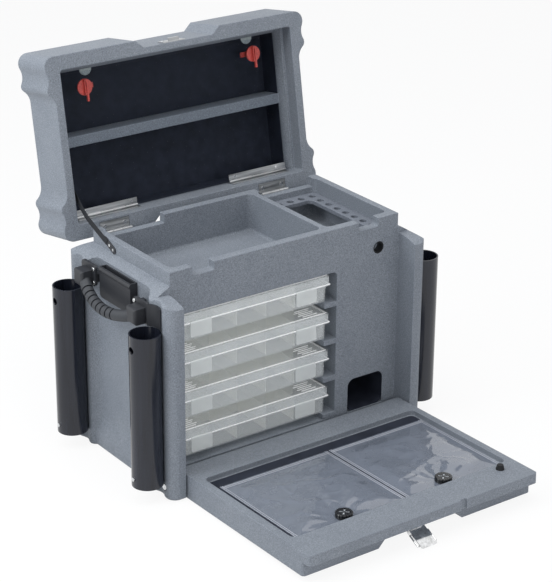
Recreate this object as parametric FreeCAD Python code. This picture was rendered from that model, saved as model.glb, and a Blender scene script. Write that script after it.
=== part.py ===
import FreeCAD, Part
import math
import os

# Fishing tackle cabinet: a double-walled moulded chest with a lift-back lid, a drop-down front
# door, four slide-out utility trays and four rod tubes.
# Frame: +X to the right along the front, +Y to the back, +Z up, millimetres.
# Origin: on the floor, in the middle of the body's plan outline.
# Rest position: lid leaning back on its strap, front door lying open, trays pushed in.

V = FreeCAD.Vector
X = V(1, 0, 0)
Y = V(0, 1, 0)
Z = V(0, 0, 1)

# ---- driving dimensions -------------------------------------------------------------------
WING_REACH = 51.0           # wings in front of the cabinet's front face
BACK_STEP = 38.0            # outline behind the upper section
BUMP_OUT = 35.0             # corner bumps outside the upper section's side
SIDE_OUT = 19.0             # flat sides outside it
BUMP_R = 12.0               # bumps beside the flats
WAIST_R = 30.0              # hollow that leads from bump to flat
RECESS_WIDTH = 160.0        # centre recess in the outline's front and back
RECESS_DEPTH = 15.0
RECESS_CHAMFER = 17.0

TUBE_R = 30.0               # rod tubes
TUBE_WALL = 2.5
TUBE_LENGTH = 306.0
TUBE_FOOT = 32.0            # height of a tube's lower end
TUBE_OUT = 60.0             # tube centres outside the upper section's side
TUBE_INSET = 43.0           # tube centres from the outline's front and back
TUBE_SCREW_UP = 18.0        # screw above a tube's lower end
TUBE_HOLE_DOWN = 27.0       # access hole below its upper end
TUBE_HOLE_R = 7.0
SCREW_R = 4.0
SCREW_HEAD = 2.2
SCREW_SINK = 1.9

CORE_RISE = 27.0            # upper section above the shoulder, inside the lid when it is shut
SHOULDER_DROP = 23.0        # fall of the shoulder to the outline
SKIRT_OUT = 8.0             # foot of the flat side, sloping out from it
SKIRT_LOW = 30.0
SKIRT_TOP = 66.0
BOTTOM_ROUND = 7.0
WING_CLEAR = 3.0            # between a wing and the front door
WING_ABOVE = 48.0           # a wing's front edge above the tubes' upper ends
WING_SLOPE = 10.0           # rise of its top towards the shoulder
WING_DROP = 15.0            # and its highest point below the shoulder

RIM_FRONT = 18.0            # wall widths of the upper section
RIM_SIDE = 14.0
RIM_BACK = 16.0
WELL_FLOOR = 360.0
DIVIDER_X = 92.0
DIVIDER_T = 12.0
NOTCH_IN = 72.5             # front rim notches from the sides, clear of the lid's red knobs
NOTCH_W = 48.0
NOTCH_D = 17.0
BACK_NOTCH_X0 = 112.0
BACK_NOTCH_X1 = 245.0
BACK_NOTCH_D = 18.0

RACK_T = 8.0                # hook rack in the right compartment
RACK_UP = 9.0               # its top above the middle of the compartment's height
RACK_ARM = 33.0
RACK_HOLE_R = 7.5
RACK_PITCH = 27.7
RACK_EDGE = 19.0            # hole row from the wall

BAY_WALL = 7.0              # left of the opening for the trays
BAY_FLOOR = 41.0
BAY_TOP = 350.0
BAY_SPARE = 15.5            # behind the trays
BACK_WALL = 23.0
RIGHT_SECTION = 146.5       # from the trays' opening to the right side
LEDGE_T = 10.0
LEDGE_LEFT = 19.0
LEDGE_RIGHT = 29.0

TRAYS = 4
TRAY_W = 356.0
TRAY_GAP_LEFT = 4.0
TRAY_GAP_RIGHT = 14.5
TRAY_D = 226.0
TRAY_H = 55.0
TRAY_PITCH = 79.0
TRAY_FIRST_Z = 52.0         # underside of the lowest tray
TRAY_SETBACK = 0.5          # tray front behind the cabinet's front face
TRAY_WALL = 2.0
TRAY_LIP_H = 18.0
TRAY_LIP_OUT = 5.5
TRAY_DRAFT = 1.5
TRAY_LATCH_W = 47.0
TRAY_LATCH_H = 31.0
TRAY_LATCH_T = 3.0
TRAY_LATCH_DOWN = 15.0      # below the tray's top
TRAY_HOOK_W = 32.0
TRAY_DIVIDER_T = 1.5
TRAY_CELL_SHARE = 0.42      # part of the depth that the cross walls divide
TRAY_LATCH_X = 121.0
TRAY_CELLS = 5

HATCH_FROM = 31.5           # small lower compartment, from the trays' opening
HATCH_W = 87.0
HATCH_Z0 = 40.0
HATCH_Z1 = 110.0
HATCH_R = 15.0
HATCH_DEPTH = 190.0

GROMMET_IN = 46.5           # from the right side
GROMMET_UP = 16.5           # above the compartments' floor
GROMMET_R = 12.5
GROMMET_HOLE_R = 10.5

DOOR_T = 48.0               # front door
DOOR_REACH = 404.5          # from the pivot to the end of the inner layer
DOOR_INNER_T = 20.5
DOOR_STEP = 18.8            # how far the outer layer stops short
DOOR_GAP = 0.8              # shut door to the cabinet's front face
DOOR_TILT = 1.3             # rise of the open door, degrees
FLOOR_GAP = 0.5
POCKET_LEFT = 17.0          # recess in the door's inner face, from the door's sides
POCKET_RIGHT = 14.0
POCKET_FROM = 55.5          # distance from the pivot
POCKET_SHORT = 71.0         # from the door's end
POCKET_DEPTH = 11.5
NICK_X0 = 78.0              # nick in the door's free edge
NICK_W = 14.0
NICK_IN = 4.5
STUD_R = 3.0                # studs that carry the bags' knobs
STUD_SUNK = 8.0
STUD_UP = 7.5
PIVOT_R = 4.0
PIVOT_CLEAR = 0.06

BAG_GAP_LEFT = 15.0         # zip bags: to the recess's left wall
BAG_GAP_RIGHT = 3.0
BAG_GAP_FROM = 29.5         # to the wall at the pivot
BAG_GAP_TO = 8.5
BAG_SPLIT_X = 12.0          # right edge of the left bag
BAG_SPLIT = 12.0            # between the bags
KNOB_X = 116.0
KNOB_SHORT = 24.0           # from the recess's outer wall
KNOB_R = 16.5
KNOB_H = 8.6

LID_GAP = 0.5               # shut lid above the shoulder
LID_H = 110.0
LID_ROUND = 9.8
MOUTH_CLEAR = 3.0           # mouth that takes the upper section and the door's tongue
MOUTH_FRONT_CLEAR = 23.0
MOUTH_BACK_CLEAR = 8.0
LID_MOUTH_DEPTH = 29.0
THROAT_IN = 7.0             # cavity behind the mouth, inside the upper section's sides
THROAT_FRONT_OUT = 9.0      # and in front of its front
LID_THROAT_FROM = 49.0      # depth at which the throat has narrowed
LID_LIP = 5.0               # narrowing of the throat at each side
LID_SLOPE = 9.0             # and at its front
LID_CAVITY = 96.0
LID_OPEN = 99.67            # swing of the lid, degrees
HINGE_IN = 3.0              # hinge axis from the outline's back
HINGE_DROP = 6.5            # and below the shut lid
HINGE_R = 4.5
HINGE_PIN_R = 2.0
HINGE_X0 = 155.0
HINGE_X1 = 220.0
LEAF_T = 2.0
LEAF_BODY_L = 26.0          # leaves, from the pin's axis
LEAF_LID_L = 21.0
HINGE_SEAT_L = 28.0         # level seat on the shoulder under each hinge
HINGE_SEAT_OUT = 6.0
SHELF_FRONT_H = 48.0
SHELF_FROM = 169.5          # shelf's lower side from the outline's back
SHELF_T = 20.0

WINDOW_H = 40.0             # clear door's plane above the lid's mouth
WINDOW_T = 3.0
WINDOW_EDGE = 7.0           # from the sides of the cavity
WINDOW_HINGE_IN = 4.0       # strip hinge axis from the mouth's back wall
WINDOW_HINGE_R = 2.5
WINDOW_TOP_EDGE = 3.5
STRIP_W = 140.0             # strip hinges
STRIP_IN = 14.0             # from the upper section's sides
STRIP_T = 1.2
STRIP_WALL_L = 14.0         # leaf on the lid, from the pin's axis
STRIP_PANEL_L = 14.0        # leaf on the clear door
STRIP_SCREW_R = 2.6
STRIP_SCREW_AT = 9.0
STRIP_PIN_R = 0.8
RED_IN = 67.0               # red knobs, from the upper section's sides
RED_DOWN = 29.5             # and from the window's edge
RED_R = 16.0
RED_H = 8.0
RED_SHAFT_R = 4.0
TAB_IN = 76.0
TAB_R = 13.0
TAB_T = 2.0
TAB_GAP = 1.2               # behind the clear door

HANDLE_R = 11.0
HANDLE_OUT = 31.0           # grip's middle outside the corner bumps
HANDLE_END_OUT = 14.0       # and its ends
HANDLE_REAR_UP = 30.0       # grip's centre line above the tubes' upper ends
HANDLE_FRONT_UP = 19.0
GRIP_SLOTS = 8
GRIP_SLOT_W = 3.5
GRIP_SLOT_DEPTH = 3.0
BRACKET_T = 5.0
BRACKET_W = 49.0
REAR_BRACKET_UP = 14.0      # above the tubes' upper ends
FRONT_BRACKET_UP = 2.0
BRACKET_H = 43.0
BRACKET_ROUND = 8.0
BRACKET_FOOT_IN = 9.0       # foot on the flat side, inside the plate's upper and lower edges
HOOD_WALL = 4.0
HOOD_CLEAR = 0.6            # between a hood and the path of what slides into the tube
TONGUE_T = 2.2              # front bracket's tongue in the tube's flute
TONGUE_L = 36.0

HOLDER_Y0 = -48.0           # side holder under each end of the lid
HOLDER_Y1 = 60.0
HOLDER_H = 61.0             # down from the top of the wings
HOLDER_OUT = 16.0
HOLDER_WALL = 3.0

STRAP_Y = 84.0              # lid strap, on the left of the upper section
STRAP_DOWN = 10.0           # below the upper section's top
STRAP_OUT = 1.9
STRAP_BEND = 0.42           # share of its run after which it slants inwards
STRAP_W = 14.0
STRAP_T = 0.8
STRAP_PLATE_L = 34.0
STRAP_PLATE_T = 1.2
STRAP_LID_Y = 78.5          # anchor's place on the shut lid
STRAP_LID_H = 38.0

KEEPER_W = 50.0             # keeper on the lid, and its lip
KEEPER_H = 22.0
KEEPER_LIP_W = 24.0
KEEPER_T = 1.5
LATCH_X = -8.0              # draw latch
LATCH_SHORT = 24.5          # lever pivot from the door's end
LATCH_PLATE_L = 17.0
LATCH_W = 36.0
LATCH_L = 44.0
LATCH_OPEN = 153.0          # swing of the lever from shut to the rest position
BAIL_R = 1.5
BAIL_L = 26.0
BAIL_FROM = 10.0            # bail pivot from the lever pivot
LATCH_DROP = 9.0            # lever pivot below the channel floor

SEAT = 0.3                  # between pieces that lie against each other

# ---- derived sizes ------------------------------------------------------------------------
CORE_X = (BAY_WALL + TRAY_GAP_LEFT + TRAY_W + TRAY_GAP_RIGHT + RIGHT_SECTION) / 2
BAY_DEPTH = TRAY_SETBACK + TRAY_LATCH_T + TRAY_D + BAY_SPARE
HALF_D = (WING_REACH + BAY_DEPTH + BACK_WALL + BACK_STEP) / 2
CORE_FRONT = -HALF_D + WING_REACH
CORE_BACK = HALF_D - BACK_STEP
BUMP_X = CORE_X + BUMP_OUT
SIDE_X = CORE_X + SIDE_OUT
TUBE_X = CORE_X + TUBE_OUT
TUBE_Y = HALF_D - TUBE_INSET
TUBE_TOP = TUBE_FOOT + TUBE_LENGTH
WING_TIP = TUBE_TOP + WING_ABOVE
WING_TOP = WING_TIP + WING_SLOPE
SHOULDER_Z = WING_TOP + WING_DROP       # where the shoulder meets the upper section
CORE_TOP = SHOULDER_Z + CORE_RISE
BACK_NOTCH_Z = CORE_TOP - BACK_NOTCH_D
RACK_TOP = (WELL_FLOOR + CORE_TOP) / 2 + RACK_UP
GROMMET_Z = WELL_FLOOR + GROMMET_UP
HOLDER_Z1 = WING_TOP
HOLDER_Z0 = HOLDER_Z1 - HOLDER_H
STRAP_Z = CORE_TOP - STRAP_DOWN
TUBE_BORE_R = TUBE_R - TUBE_WALL
FLUTE_R = TUBE_R + SEAT
WING_X = CORE_X + WING_CLEAR
NOTCH_X = CORE_X - NOTCH_IN
BAY_LEFT = -CORE_X + BAY_WALL
BAY_RIGHT = CORE_X - RIGHT_SECTION
HATCH_X0 = BAY_RIGHT + HATCH_FROM
HATCH_X1 = HATCH_X0 + HATCH_W
GROMMET_X = CORE_X - GROMMET_IN
WELL_FRONT = CORE_FRONT + RIM_FRONT
WELL_BACK = CORE_BACK - RIM_BACK
WELL_X = CORE_X - RIM_SIDE
DOOR_X = CORE_X
PIVOT_Y = CORE_FRONT - DOOR_GAP - DOOR_T / 2
PIVOT_Z = DOOR_T / 2 + FLOOR_GAP
DOOR_IN = PIVOT_Z + DOOR_T / 2          # inner face of the door when it lies flat
POCKET_TO = DOOR_REACH - POCKET_SHORT
POCKET_X0 = -DOOR_X + POCKET_LEFT
POCKET_X1 = DOOR_X - POCKET_RIGHT
BAG_FROM = POCKET_FROM + BAG_GAP_FROM
BAG_TO = POCKET_TO - BAG_GAP_TO
KNOB_FROM = POCKET_TO - KNOB_SHORT
LATCH_FROM = DOOR_REACH - LATCH_SHORT
LID_Z = SHOULDER_Z + LID_GAP
HINGE_Y = HALF_D - HINGE_IN
HINGE_Z = LID_Z - HINGE_DROP
LID_MOUTH_X = CORE_X + MOUTH_CLEAR
LID_MOUTH_FRONT = CORE_FRONT - MOUTH_FRONT_CLEAR
LID_MOUTH_BACK = CORE_BACK + MOUTH_BACK_CLEAR
LID_THROAT_X = CORE_X - THROAT_IN
LID_THROAT_FRONT = CORE_FRONT - THROAT_FRONT_OUT
SHELF_Y = HALF_D - SHELF_FROM
WINDOW_X = LID_THROAT_X - WINDOW_EDGE
WINDOW_TOP = LID_THROAT_FRONT + WINDOW_TOP_EDGE
WINDOW_HINGE_Y = LID_MOUTH_BACK - WINDOW_HINGE_IN
STRIP_X1 = CORE_X - STRIP_IN
STRIP_X0 = STRIP_X1 - STRIP_W
RED_X = CORE_X - RED_IN
RED_Y = WINDOW_TOP + RED_DOWN
TAB_X = CORE_X - TAB_IN
WINDOW_HINGE_Z = LID_Z + WINDOW_H - WINDOW_HINGE_R + 0.5
BRACKET_OUT = BUMP_X + SEAT + BRACKET_T
# a bracket's edge nearest the tube, outside the path of what slides into the tube
BRACKET_FAR = TUBE_Y - math.sqrt(TUBE_BORE_R ** 2 - (TUBE_X - BRACKET_OUT) ** 2) - 1


# ---- helpers ------------------------------------------------------------------------------
def box(x0, x1, y0, y1, z0, z1):
    return Part.makeBox(x1 - x0, y1 - y0, z1 - z0, V(x0, y0, z0))


def rod(radius, start, end):
    """Round bar between two points."""
    along = end.sub(start)
    return Part.makeCylinder(radius, along.Length, start, along)


def ring(outer, inner, start, end):
    return rod(outer, start, end).cut(rod(inner, start, end))


def join(shapes):
    first = shapes[0]
    if len(shapes) == 1:
        return first
    return first.fuse(shapes[1:]).removeSplitter()


def group(shapes):
    """Separate solids that share one node."""
    return Part.makeCompound([s for shape in shapes for s in shape.Solids])


def mirror_x(shape):
    return shape.mirror(V(0, 0, 0), X)


def both_sides(shape):
    return group([shape, mirror_x(shape)])


def turned(shape, point, axis, degrees):
    copy = shape.copy()
    copy.rotate(point, axis, degrees)
    return copy


def polygon(points):
    return Part.Face(Part.makePolygon(points + [points[0]]))


def edges_along(shape, axis, test=lambda e: True):
    """Straight edges parallel to an axis that pass a test."""
    found = []
    for edge in shape.Edges:
        if not isinstance(edge.Curve, Part.Line):
            continue
        if abs(abs(edge.tangentAt(edge.FirstParameter).dot(axis)) - 1) < 1e-6 and test(edge):
            found.append(edge)
    return found


def rounded_box(x0, x1, y0, y1, z0, z1, radius, axis=Z):
    block = box(x0, x1, y0, y1, z0, z1)
    return block.makeFillet(radius, edges_along(block, axis))


def middle(edge):
    return edge.valueAt((edge.FirstParameter + edge.LastParameter) / 2)


def on_circle(centre, radius, toward):
    return centre.add(toward.sub(centre).normalize().multiply(radius))


def arc(centre, radius, start, end):
    """Shorter arc about a centre."""
    half_way = on_circle(centre, radius, start.add(end).multiply(0.5))
    return Part.Arc(start, half_way, end).toShape()


# ---- plan outline shared by body and lid ----------------------------------------------------
def outline_quarter():
    """Edges of the outline for x >= 0, y >= 0: recess, corner bump, tube flute, bump, flat side."""
    tube = V(TUBE_X, TUBE_Y, 0)
    # corner bump: touches the back line, the bump width and the flute
    a = TUBE_X - BUMP_X
    b = HALF_D - TUBE_Y
    p = 2 * (a - b - FLUTE_R)
    q = a * a + b * b - FLUTE_R ** 2
    corner_r = (-p - math.sqrt(p * p - 4 * q)) / 2
    corner = V(BUMP_X - corner_r, HALF_D - corner_r, 0)
    # bump on the other side of the flute
    bump_x = BUMP_X - BUMP_R
    bump = V(bump_x, TUBE_Y - math.sqrt((FLUTE_R + BUMP_R) ** 2 - (TUBE_X - bump_x) ** 2), 0)
    # hollow down to the flat side
    waist_x = SIDE_X + WAIST_R
    waist = V(waist_x, bump.y - math.sqrt((BUMP_R + WAIST_R) ** 2 - (waist_x - bump_x) ** 2), 0)

    recess = V(RECESS_WIDTH / 2, HALF_D - RECESS_DEPTH, 0)
    shoulder = V(RECESS_WIDTH / 2 + RECESS_CHAMFER, HALF_D, 0)
    corner_start = V(corner.x, HALF_D, 0)
    flute_start = on_circle(corner, corner_r, tube)
    flute_end = on_circle(bump, BUMP_R, tube)
    waist_start = on_circle(bump, BUMP_R, waist)
    side_start = V(SIDE_X, waist.y, 0)
    return [
        Part.makeLine(V(0, recess.y, 0), recess),
        Part.makeLine(recess, shoulder),
        Part.makeLine(shoulder, corner_start),
        arc(corner, corner_r, corner_start, flute_start),
        arc(tube, FLUTE_R, flute_start, flute_end),
        arc(bump, BUMP_R, flute_end, waist_start),
        arc(waist, WAIST_R, waist_start, side_start),
        Part.makeLine(side_start, V(SIDE_X, 0, 0)),
    ]


def outline_prism(z0, z1):
    quarter = outline_quarter()
    half = quarter + [e.mirror(V(0, 0, 0), Y) for e in quarter]
    edges = half + [mirror_x(e) for e in half]
    wire = Part.Wire(Part.__sortEdges__(edges))
    prism = Part.Face(wire).extrude(V(0, 0, z1 - z0)).removeSplitter()
    prism.translate(V(0, 0, z0))
    return prism


def level_edges(shape, z):
    return [e for e in shape.Edges if abs(e.BoundBox.ZMin - z) + abs(e.BoundBox.ZMax - z) < 0.1]


def shoulder_curve(start, out):
    """Convex fall from the upper section to the outline, in a plane given by out."""
    reach = V(0, 0, 0).add(out).multiply(BUMP_X + 1 - CORE_X)
    end = start.add(reach).sub(V(0, 0, SHOULDER_DROP))
    bulge = start.add(end).multiply(0.5).add(V(0, 0, 2.5))
    return Part.Arc(start, bulge, end).toShape(), end


def shoulder_blocks():
    """Two extruded profiles whose common part gives the body its sloped shoulders."""
    long_y = HALF_D + 5
    right, right_end = shoulder_curve(V(CORE_X, -long_y, SHOULDER_Z), X)
    left = mirror_x(right)
    foot_r = V(right_end.x, -long_y, -1)
    foot_l = V(-right_end.x, -long_y, -1)
    across = Part.Wire(Part.__sortEdges__([
        left, Part.makeLine(V(-CORE_X, -long_y, SHOULDER_Z), V(CORE_X, -long_y, SHOULDER_Z)),
        right, Part.makeLine(right_end, foot_r), Part.makeLine(foot_r, foot_l),
        Part.makeLine(foot_l, V(-right_end.x, -long_y, right_end.z))]))
    side_block = Part.Face(across).extrude(V(0, 2 * long_y, 0))

    long_x = BUMP_X + 5
    back, back_end = shoulder_curve(V(-long_x, CORE_BACK, SHOULDER_Z), Y)
    wing_back = V(-long_x, CORE_FRONT, WING_TOP)
    wing_front = V(-long_x, -HALF_D - 1, WING_TIP)
    crown = wing_back.add(wing_front).multiply(0.5).add(V(0, 0, 3))
    top = V(-long_x, CORE_FRONT, SHOULDER_Z)
    foot_f = V(-long_x, wing_front.y, -1)
    foot_b = V(-long_x, back_end.y, -1)
    along = Part.Wire(Part.__sortEdges__([
        Part.makeLine(top, V(-long_x, CORE_BACK, SHOULDER_Z)), back,
        Part.makeLine(back_end, foot_b), Part.makeLine(foot_b, foot_f),
        Part.makeLine(foot_f, wing_front), Part.Arc(wing_front, crown, wing_back).toShape(),
        Part.makeLine(wing_back, top)]))
    return side_block, Part.Face(along).extrude(V(2 * long_x, 0, 0))


# ---- body -----------------------------------------------------------------------------------
def tray_z(index):
    return TRAY_FIRST_Z + index * TRAY_PITCH


def tray_bay():
    bay = box(BAY_LEFT, BAY_RIGHT, CORE_FRONT - 1, CORE_FRONT + BAY_DEPTH, BAY_FLOOR, BAY_TOP)
    corners = edges_along(bay, Y, lambda e: middle(e).z > BAY_TOP - 1)
    bay = bay.makeFillet(LEDGE_T, corners)
    for index in range(TRAYS):
        top = tray_z(index) - SEAT
        low = max(top - LEDGE_T, BAY_FLOOR)
        back = CORE_FRONT + BAY_DEPTH + 1
        left = box(BAY_LEFT - 1, BAY_LEFT + LEDGE_LEFT, CORE_FRONT, back, low, top)
        right = box(BAY_RIGHT - LEDGE_RIGHT, BAY_RIGHT + 1, CORE_FRONT, back, low, top)
        bay = bay.cut([left, right])
    return bay


def hatch():
    z0, z1 = HATCH_Z0, HATCH_Z1
    hollow = box(HATCH_X0, HATCH_X1, CORE_FRONT - 1, CORE_FRONT + HATCH_DEPTH, z0, z1)
    return hollow.makeFillet(HATCH_R, edges_along(hollow, Y, lambda e: middle(e).z > z1 - 1))


def compartment(x0, x1):
    hollow = box(x0, x1, WELL_FRONT, WELL_BACK, WELL_FLOOR, CORE_TOP + 1)
    hollow = hollow.makeFillet(12, edges_along(hollow, Z))
    low = [e for e in hollow.Edges if e.BoundBox.ZMax < WELL_FLOOR + 0.1]
    return hollow.makeFillet(6, low)


def hinge_pads():
    """Level seats for the lid hinges on the rear shoulder: what is added and what is cut."""
    top = HINGE_Z - HINGE_R - LEAF_T - 1
    x0, x1 = HINGE_X0 - HINGE_SEAT_OUT, HINGE_X1 + HINGE_SEAT_OUT
    y0, y1 = HINGE_Y - HINGE_SEAT_L, HALF_D
    return box(x0, x1, y0, y1, top - 20, top), box(x0, x1, y0, y1 + 5, top, top + 20)


def side_skirt():
    """Sloped foot of the right flat side, between the corner bumps."""
    foot_x = SIDE_X + SKIRT_OUT
    long_y = TUBE_Y - TUBE_R + BUMP_R / 2
    corner = V(foot_x - BOTTOM_ROUND, -long_y, BOTTOM_ROUND)
    turn = Part.Arc(V(corner.x, -long_y, 0), corner.add(V(0.7071, 0, -0.7071).multiply(BOTTOM_ROUND)),
                    V(foot_x, -long_y, BOTTOM_ROUND))
    start, end = turn.StartPoint, turn.EndPoint
    points = [end, V(foot_x, -long_y, SKIRT_LOW), V(SIDE_X, -long_y, SKIRT_TOP),
              V(CORE_X, -long_y, SKIRT_TOP), V(CORE_X, -long_y, 0), start]
    lines = [Part.makeLine(a, b) for a, b in zip(points, points[1:])]
    face = Part.Face(Part.Wire([turn.toShape()] + lines))
    return face.extrude(V(0, 2 * long_y, 0))


def base_shell():
    side_block, end_block = shoulder_blocks()
    prism = outline_prism(0, SHOULDER_Z)
    prism = prism.makeFillet(BOTTOM_ROUND, level_edges(prism, 0))
    body = prism.common(side_block).common(end_block)
    body = body.fuse([side_skirt(), mirror_x(side_skirt())])
    core = box(-CORE_X, CORE_X, CORE_FRONT, CORE_BACK, 0, CORE_TOP)
    core = core.makeFillet(5, edges_along(core, Z, lambda e: middle(e).y > 0))
    body = body.fuse(core)
    pad, seat = hinge_pads()
    body = body.fuse([pad, mirror_x(pad)]).cut([seat, mirror_x(seat)])
    front = -HALF_D - 1
    cuts = [box(-WING_X, WING_X, front, CORE_FRONT, -1, CORE_TOP)]
    cuts.append(compartment(-WELL_X, DIVIDER_X))
    cuts.append(compartment(DIVIDER_X + DIVIDER_T, WELL_X))
    notch = rounded_box(NOTCH_X - NOTCH_W / 2, NOTCH_X + NOTCH_W / 2, CORE_FRONT - 1,
                        WELL_FRONT + 1, CORE_TOP - NOTCH_D, CORE_TOP + 20, 6, Y)
    back_notch = box(BACK_NOTCH_X0, BACK_NOTCH_X1, WELL_BACK - 1, CORE_BACK + 1,
                     BACK_NOTCH_Z, CORE_TOP + 1)
    for cut in (notch, back_notch):
        cuts += [cut, mirror_x(cut)]
    cuts += [tray_bay(), hatch()]
    grommet = V(GROMMET_X, CORE_FRONT, GROMMET_Z)
    cuts.append(rod(GROMMET_R + SEAT, grommet.sub(Y), grommet.add(V(0, 2, 0))))
    cuts.append(rod(GROMMET_R - 1, grommet.sub(Y), grommet.add(V(0, RIM_FRONT + 1, 0))))
    pivot = V(WING_X - 1, PIVOT_Y, PIVOT_Z)
    hole = rod(PIVOT_R + PIVOT_CLEAR, pivot, V(BUMP_X + 1, PIVOT_Y, PIVOT_Z))
    seat_x = bolt_seat_x()
    spot = rod(2.2 * PIVOT_R, V(seat_x, PIVOT_Y, PIVOT_Z), V(BUMP_X + 9, PIVOT_Y, PIVOT_Z))
    cuts += [hole, mirror_x(hole), spot, mirror_x(spot)]
    body = body.cut(cuts)
    return body.removeSplitter()


def bolt_seat_x():
    """Outer face of the wing at the door pivot, inside the tube flute."""
    return TUBE_X - math.sqrt(FLUTE_R ** 2 - (PIVOT_Y + TUBE_Y) ** 2) - 3


def door_pivots():
    seat_x = bolt_seat_x()
    shaft = rod(PIVOT_R, V(DOOR_X - 18, PIVOT_Y, PIVOT_Z), V(seat_x + 1, PIVOT_Y, PIVOT_Z))
    start = V(seat_x + SEAT, PIVOT_Y, PIVOT_Z)
    head = rod(1.7 * PIVOT_R, start, start.add(V(3, 0, 0)))
    head = head.makeFillet(1.2, [e for e in head.Edges if e.BoundBox.XMin > start.x + 2])
    return both_sides(join([shaft, head]))


def hook_rack():
    top = RACK_TOP
    x0, x1 = DIVIDER_X + DIVIDER_T + SEAT, WELL_X - SEAT
    y0, y1 = WELL_FRONT + SEAT, WELL_BACK - SEAT
    plate = rounded_box(x0, x1, y0, y1, top - RACK_T, top, 12)
    opening = rounded_box(x0 - 20, x1 - RACK_ARM, y0 - 20, y1 - RACK_ARM, top - 20, top + 5, 10)
    plate = plate.cut(opening)
    rows = int((y1 - y0 - 2 * RACK_EDGE) // RACK_PITCH) + 1
    holes = [V(x1 - RACK_EDGE, y1 - RACK_EDGE - i * RACK_PITCH, 0) for i in range(rows)]
    columns = int((x1 - x0 - 3 * RACK_EDGE) // RACK_PITCH)
    holes += [V(x1 - RACK_EDGE - (i + 1) * RACK_PITCH, y1 - RACK_EDGE, 0) for i in range(columns)]
    low, high = V(0, 0, top - RACK_T - 1), V(0, 0, top + 1)
    return plate.cut([rod(RACK_HOLE_R, p.add(low), p.add(high)) for p in holes])


def grommet():
    face = V(GROMMET_X, CORE_FRONT, GROMMET_Z)
    flange = rod(GROMMET_R, face.add(V(0, SEAT, 0)), face.add(V(0, 2 - SEAT, 0)))
    sleeve = rod(GROMMET_R - 1 - SEAT, face.add(V(0, SEAT, 0)), face.add(V(0, RIM_FRONT, 0)))
    hole = rod(GROMMET_HOLE_R, face.sub(Y), face.add(V(0, RIM_FRONT + 1, 0)))
    return flange.fuse(sleeve).removeSplitter().cut(hole)


def sink(side, place, radius, depth):
    """Countersunk head that faces away from the body."""
    return Part.makeCone(radius / 2, radius, depth, place, V(side, 0, 0))


def rod_tube(side, end):
    """One open tube in its flute: access hole in the outer wall, screw seat in the inner one."""
    foot = V(side * TUBE_X, end * TUBE_Y, TUBE_FOOT)
    hole_z = TUBE_TOP - TUBE_HOLE_DOWN
    tube = ring(TUBE_R, TUBE_BORE_R, foot, foot.add(V(0, 0, TUBE_LENGTH)))
    outer = V(side * (TUBE_X + TUBE_R + 1), end * TUBE_Y, hole_z)
    screw = V(side * (TUBE_X + TUBE_R + 1), end * TUBE_Y, TUBE_FOOT + TUBE_SCREW_UP)
    inner = V(side * (TUBE_X - TUBE_BORE_R - SCREW_SINK - SEAT), end * TUBE_Y, hole_z)
    return tube.cut([
        rod(TUBE_HOLE_R, outer, outer.sub(V(side * TUBE_R, 0, 0))),
        rod(SCREW_R / 2 + SEAT, screw, screw.sub(V(side * 2 * TUBE_WALL, 0, 0))),
        rod(SCREW_R / 2 + SEAT, inner.sub(V(side * TUBE_WALL, 0, 0)), inner.add(V(side, 0, 0))),
        sink(side, inner, SCREW_R + 2 * SEAT, SCREW_SINK + 4 * SEAT)])


def tube_screws():
    """One screw through each tube's foot, one countersunk into the body behind the access hole."""
    screws = []
    for side in (-1, 1):
        for end in (-1, 1):
            start = V(side * (TUBE_X + TUBE_R + SEAT), end * TUBE_Y, TUBE_FOOT + TUBE_SCREW_UP)
            head = rod(SCREW_R, start, start.add(V(side * SCREW_HEAD, 0, 0)))
            shank = rod(SCREW_R / 2, start, start.sub(V(side * TUBE_WALL, 0, 0)))
            screws.append(join([head, shank]))
            back = V(side * (TUBE_X - TUBE_BORE_R - SCREW_SINK), end * TUBE_Y,
                     TUBE_TOP - TUBE_HOLE_DOWN)
            shank = rod(SCREW_R / 2, back.sub(V(side * 0.5, 0, 0)), back.add(V(side * 0.5, 0, 0)))
            screws.append(join([sink(side, back, SCREW_R - SEAT, SCREW_SINK - SEAT), shank]))
    return group(screws)


def grip_end_y():
    """Where the grip's ends lie, so that the hoods round them stay beside the tubes' bores."""
    return TUBE_Y - TUBE_BORE_R - HOOD_CLEAR - HOOD_WALL - SEAT - HANDLE_R


def grip_arc(side):
    end_x, y = BUMP_X + HANDLE_END_OUT, grip_end_y()
    return Part.Arc(V(side * end_x, y, TUBE_TOP + HANDLE_REAR_UP),
                    V(side * (BUMP_X + HANDLE_OUT), 0, TUBE_TOP),
                    V(side * end_x, -y, TUBE_TOP + HANDLE_FRONT_UP)).toShape()


def grip_tube(side, radius):
    path = grip_arc(side)
    start = path.valueAt(path.FirstParameter)
    along = path.tangentAt(path.FirstParameter)
    profile = Part.Wire(Part.makeCircle(radius, start, along))
    return Part.Wire(path).makePipeShell([profile], True, False)


def handle_grip(side):
    """Curved grip with a row of grooves round its rear half."""
    grip = grip_tube(side, HANDLE_R)
    path = grip_arc(side)
    span = path.LastParameter - path.FirstParameter
    slots = []
    for i in range(GRIP_SLOTS):
        t = path.FirstParameter + span * (0.17 + 0.6 * i / GRIP_SLOTS)
        centre, along = path.valueAt(t), path.tangentAt(t)
        start = centre.sub(V(0, 0, 0).add(along).multiply(GRIP_SLOT_W / 2))
        end = start.add(V(0, 0, 0).add(along).multiply(GRIP_SLOT_W))
        slots.append(ring(HANDLE_R + 2, HANDLE_R - GRIP_SLOT_DEPTH, start, end))
    return grip.cut(slots)


def bracket_spans():
    """End, lower and upper edge of each handle bracket."""
    return [(1, TUBE_TOP + REAR_BRACKET_UP, TUBE_TOP + REAR_BRACKET_UP + BRACKET_H),
            (-1, TUBE_TOP + FRONT_BRACKET_UP, TUBE_TOP + FRONT_BRACKET_UP + BRACKET_H)]


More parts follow.
